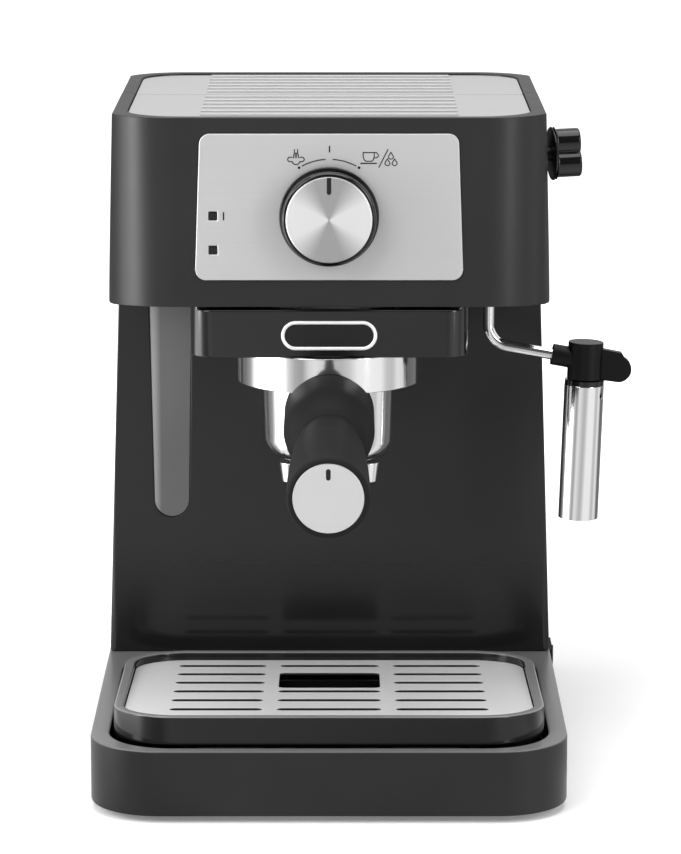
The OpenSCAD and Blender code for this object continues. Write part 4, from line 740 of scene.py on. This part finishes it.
lower_half = half_bolt()
bmesh.ops.transform(lower_half, matrix=Matrix.Diagonal((1, 1, -1, 1)), verts=lower_half.verts)
bmesh.ops.reverse_faces(lower_half, faces=lower_half.faces)
hex_bolt = joined(half_bolt(), lower_half)
bolts = in_ring("bolt_ring", zinc, place(0, group_back, join_z), 6, bolts_at_r*MM, math.radians(30))
settle("boiler_bolts", bolts.grow("hex_bolt", hex_bolt), zinc, "root", ["boiler_bolts"])
screen_steel = metal("screen_steel", grey(196), 0.26, scratch=0.6, scale=900)
inside = {
    "heating_element": metal("heater_sheath", grey(120), 0.5, scratch=0.8, scale=500, depth=0.00003),
    "thermostats": moulded("white_ceramic", grey(214), 0.35, specular=0.5),
    "selector_switch": moulded("switch_cream", (0.68, 0.62, 0.47, 1), 0.45),
    "pump_body": moulded("pump_grey", grey(72), 0.5), "pump_mounts": black_rubber,
    "silicone_hoses": moulded("milky_silicone", grey(206), 0.5, grain=0.2, scale=600),
    "steam_valve_body": metal("valve_brass", (0.66, 0.48, 0.2, 1), 0.34, scratch=0.6),
    "steam_pipes": metal("copper_tube", (0.78, 0.36, 0.2, 1), 0.3, scratch=0.4, patch=30, tint=0.7),
    "shower_screen": screen_steel, "filter_basket": screen_steel, "shower_screw": zinc,
    "group_gasket": moulded("gasket_brown", (0.2, 0.08, 0.045, 1), 0.7, grain=0.7),
    "wand_seat": grey_nylon, "wand_pivot": chrome, "tank_bay": moulded("bay_grey", grey(70), 0.5),
    "handle_bolt": zinc, "lid_pins": zinc,
    "steam_spindle": metal("blackened_steel", grey(34), 0.4, metallic=0.6)}
board = Finish("circuit_green")
tracks = board.add("ShaderNodeTexBrick", {"offset": 0.5}, {
    "Vector": board.stretched(1, 0, 1), "Scale": 260.0, "Mortar Size": 0.05,
    "Color1": (0.01, 0.09, 0.03, 1), "Color2": (0.02, 0.13, 0.04, 1), "Mortar": (0.3, 0.22, 0.06, 1)})
inside["control_board"] = board.shade(colour=tracks, rough=0.35 + board.noise(80, 2)*0.1,
                                      normal=board.bump(board.noise(700, 2), 0.00002, 0.4))
for node, finish in inside.items():
    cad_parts[node].data.materials[0] = finish

# ---- Portafilter ----
# Chromed brass bowl with two locking ears, a pressed steel basket, a twin spout screwed
# below, and a soft-touch black handle on a bolt, closed with an aluminium cap.
softened("portafilter_bowl", "portafilter_body", 0.5, chrome, "portafilter", steps=3)
softened("spout_casting", "twin_spout", 0.4, chrome, "portafilter", steps=3)
soft_touch = moulded("soft_touch_black", grey(26), 0.62, grain=0.3, depth=0.00002, scale=1300,
                     specular=0.1)
softened("handle_body", "handle_grip", 0.8, soft_touch, "portafilter", steps=3,
         angle=40, crease=40)
end_metal = brushed("end_cap_metal", grey(206), 0.42, metallic=0.5)
softened("handle_end", "handle_cap", 0.3, end_metal, "portafilter", steps=3)

# The cap's mark is a short black line with round ends, above the handle's axis.
handle_tilt, handle_z, handle_len = 3.1, 158.8, 174.2
mark_half, mark_low, mark_high = 0.95, 8.5, 11.4
mark = slab(arc(0, mark_high, mark_half, mark_half, 0, 180, 8)
            + arc(0, mark_low, mark_half, mark_half, 180, 360, 8), 0, 0.05, 0)
mark.transform(Matrix.Translation(place(0, group_back, handle_z))
               @ Matrix.Rotation(math.radians(90 + handle_tilt), 4, "X")
               @ Matrix.Translation((0, 0, (handle_len - 0.1)*MM)))
settle("handle_mark", mark, knob_black, "portafilter")

# ---- Steam knob ----
# Gloss black knob with three lobes on a round skirt, pressed on the brass spindle.
softened("steam_control_knob", "steam_knob", 0.9, knob_black, "steam_control", steps=3)

# ---- Steam wand and frother ----
# Bent and polished steel tube. Its black nozzle body carries a polished sleeve that slides
# down for cleaning, with a black ring round its top.
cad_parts["wand_tube"].data.materials[0] = chrome
nozzle_black = moulded("nozzle_black", grey(12), 0.38, grain=0.2, scale=1300, specular=0.16)
softened("frother_moulding", "frother_body", 0.3, nozzle_black, "wand", steps=3)
softened("frother_tube", "frother_sleeve", 0.25, chrome, "sleeve")
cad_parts["sleeve_ring"].data.materials[0] = knob_black

# ---- Water tank and its lid ----
# Smoked grey styrene tank with two hinge knuckles, under a charcoal lid that carries the
# second half of the ribbed plate.
styrene = Finish("tank_styrene")
cloudy = styrene.between(styrene.noise(12, 3), 0.3, 0.7, 0.0, 1.0)
tank_grey = styrene.shade(colour=styrene.blend(cloudy, grey(86), grey(100)), specular=0.45,
                          rough=0.2 + styrene.noise(80, 3)*0.1,
                          normal=styrene.bump(styrene.noise(600, 3), 0.00001, 0.2))
softened("water_container", "water_tank", 0.5, tank_grey, "tank", fuse=0.6)
softened("container_lid", "tank_lid", 0.6, charcoal, "lid", fuse=0.2)

# ---- Drip basin ----
# Gloss black moulding that lifts out, with fifteen slats and four posts inside.
basin_black = moulded("basin_black", grey(11), 0.12, grain=0.1, depth=0.00002, scale=300, specular=0.4)
softened("basin_moulding", "drip_basin", 0.4, basin_black, "basin")
slat_low, slat_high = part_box("basin_slats")
slat_size = (slat_high - slat_low)/MM
slat_w, slats = 4.0, 15
slat_pitch = (slat_size.y - slat_w)/(slats - 1)*MM
first_slat = ((slat_low.x + slat_high.x)/2, slat_low.y + slat_w/2*MM, slat_low.z)
slat_rows = in_grid("slat_rows", basin_black, first_slat, (1, slats), (0.0, slat_pitch, 0.0))
slat = rounded_bar(slat_size.x, slat_w, slat_size.z, 0.5)
settle("basin_slat_rows", slat_rows.grow("slat", slat), basin_black, "basin",
       ["basin_slats"])

# ---- Cup tray ----
# Satin black frame with a brushed steel grid that has rows of round-ended slots and one
# drain opening. The frame's rim and the grid both fall towards the front.
def level_of(node, slope):
    """Height of a node's sloping upper face, square to it, in metres."""
    low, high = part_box(node)
    return Vector((0.0, low.y, high.z)).dot(Vector(upright(slope)))

rim_slope, grid_slope = 3.4, 4.4
tray_top = level_of("cup_tray_frame", rim_slope)/MM
# The frame's top rim is painted light grey: a painted highlight for the light it reflects there.
tray_black = moulded("tray_black", grey(13), 0.13, grain=0.12, specular=0.4,
                     rim=(tray_top - 0.6, tray_top - 0.1, rim_slope, grey(124), 0.25))
softened("tray_frame", "cup_tray_frame", 0.7, tray_black, "cup_tray", steps=3)
softened("tray_rib_frame", "tray_ribs", 0.25, tray_black, "cup_tray")
grid_steel = Finish("grid_steel")
long, fine = 6.0, 1500.0
lines = grid_steel.noise(1.0, 4, grid_steel.stretched(long, fine, fine), 0.6)
above = grid_steel.add("ShaderNodeVectorMath", {"operation": "DOT_PRODUCT"}, [
    grid_steel.spot(), upright(grid_slope)], output=1)
grid_top = level_of("cup_grid", grid_slope)
# Below the sheet's top face the slot walls are dark grey: painted shade in the slots.
top_above_slot_shade = grid_steel.between(above, grid_top - 0.1*MM, grid_top - 0.04*MM, 0.0, 1.0)
sheet_tone = grid_steel.blend(lines, grey(214), grey(226))
grid_metal = grid_steel.shade(colour=grid_steel.blend(top_above_slot_shade, grey(26), sheet_tone), metal=0.3,
                              rough=0.42 + grid_steel.noise(40, 3)*0.1,
                              normal=grid_steel.bump(lines, 0.000005, 0.5))
softened("tray_grid", "cup_grid", 0.12, grid_metal, "grid")

# ---- Power switch ----
# Rocker switch in a snap-in frame, low on the right side, both with a soft-touch finish.
softened("switch_surround", "switch_frame", 0.3, soft_touch, "root")
softened("rocker_paddle", "power_rocker", 0.3, soft_touch, "rocker")
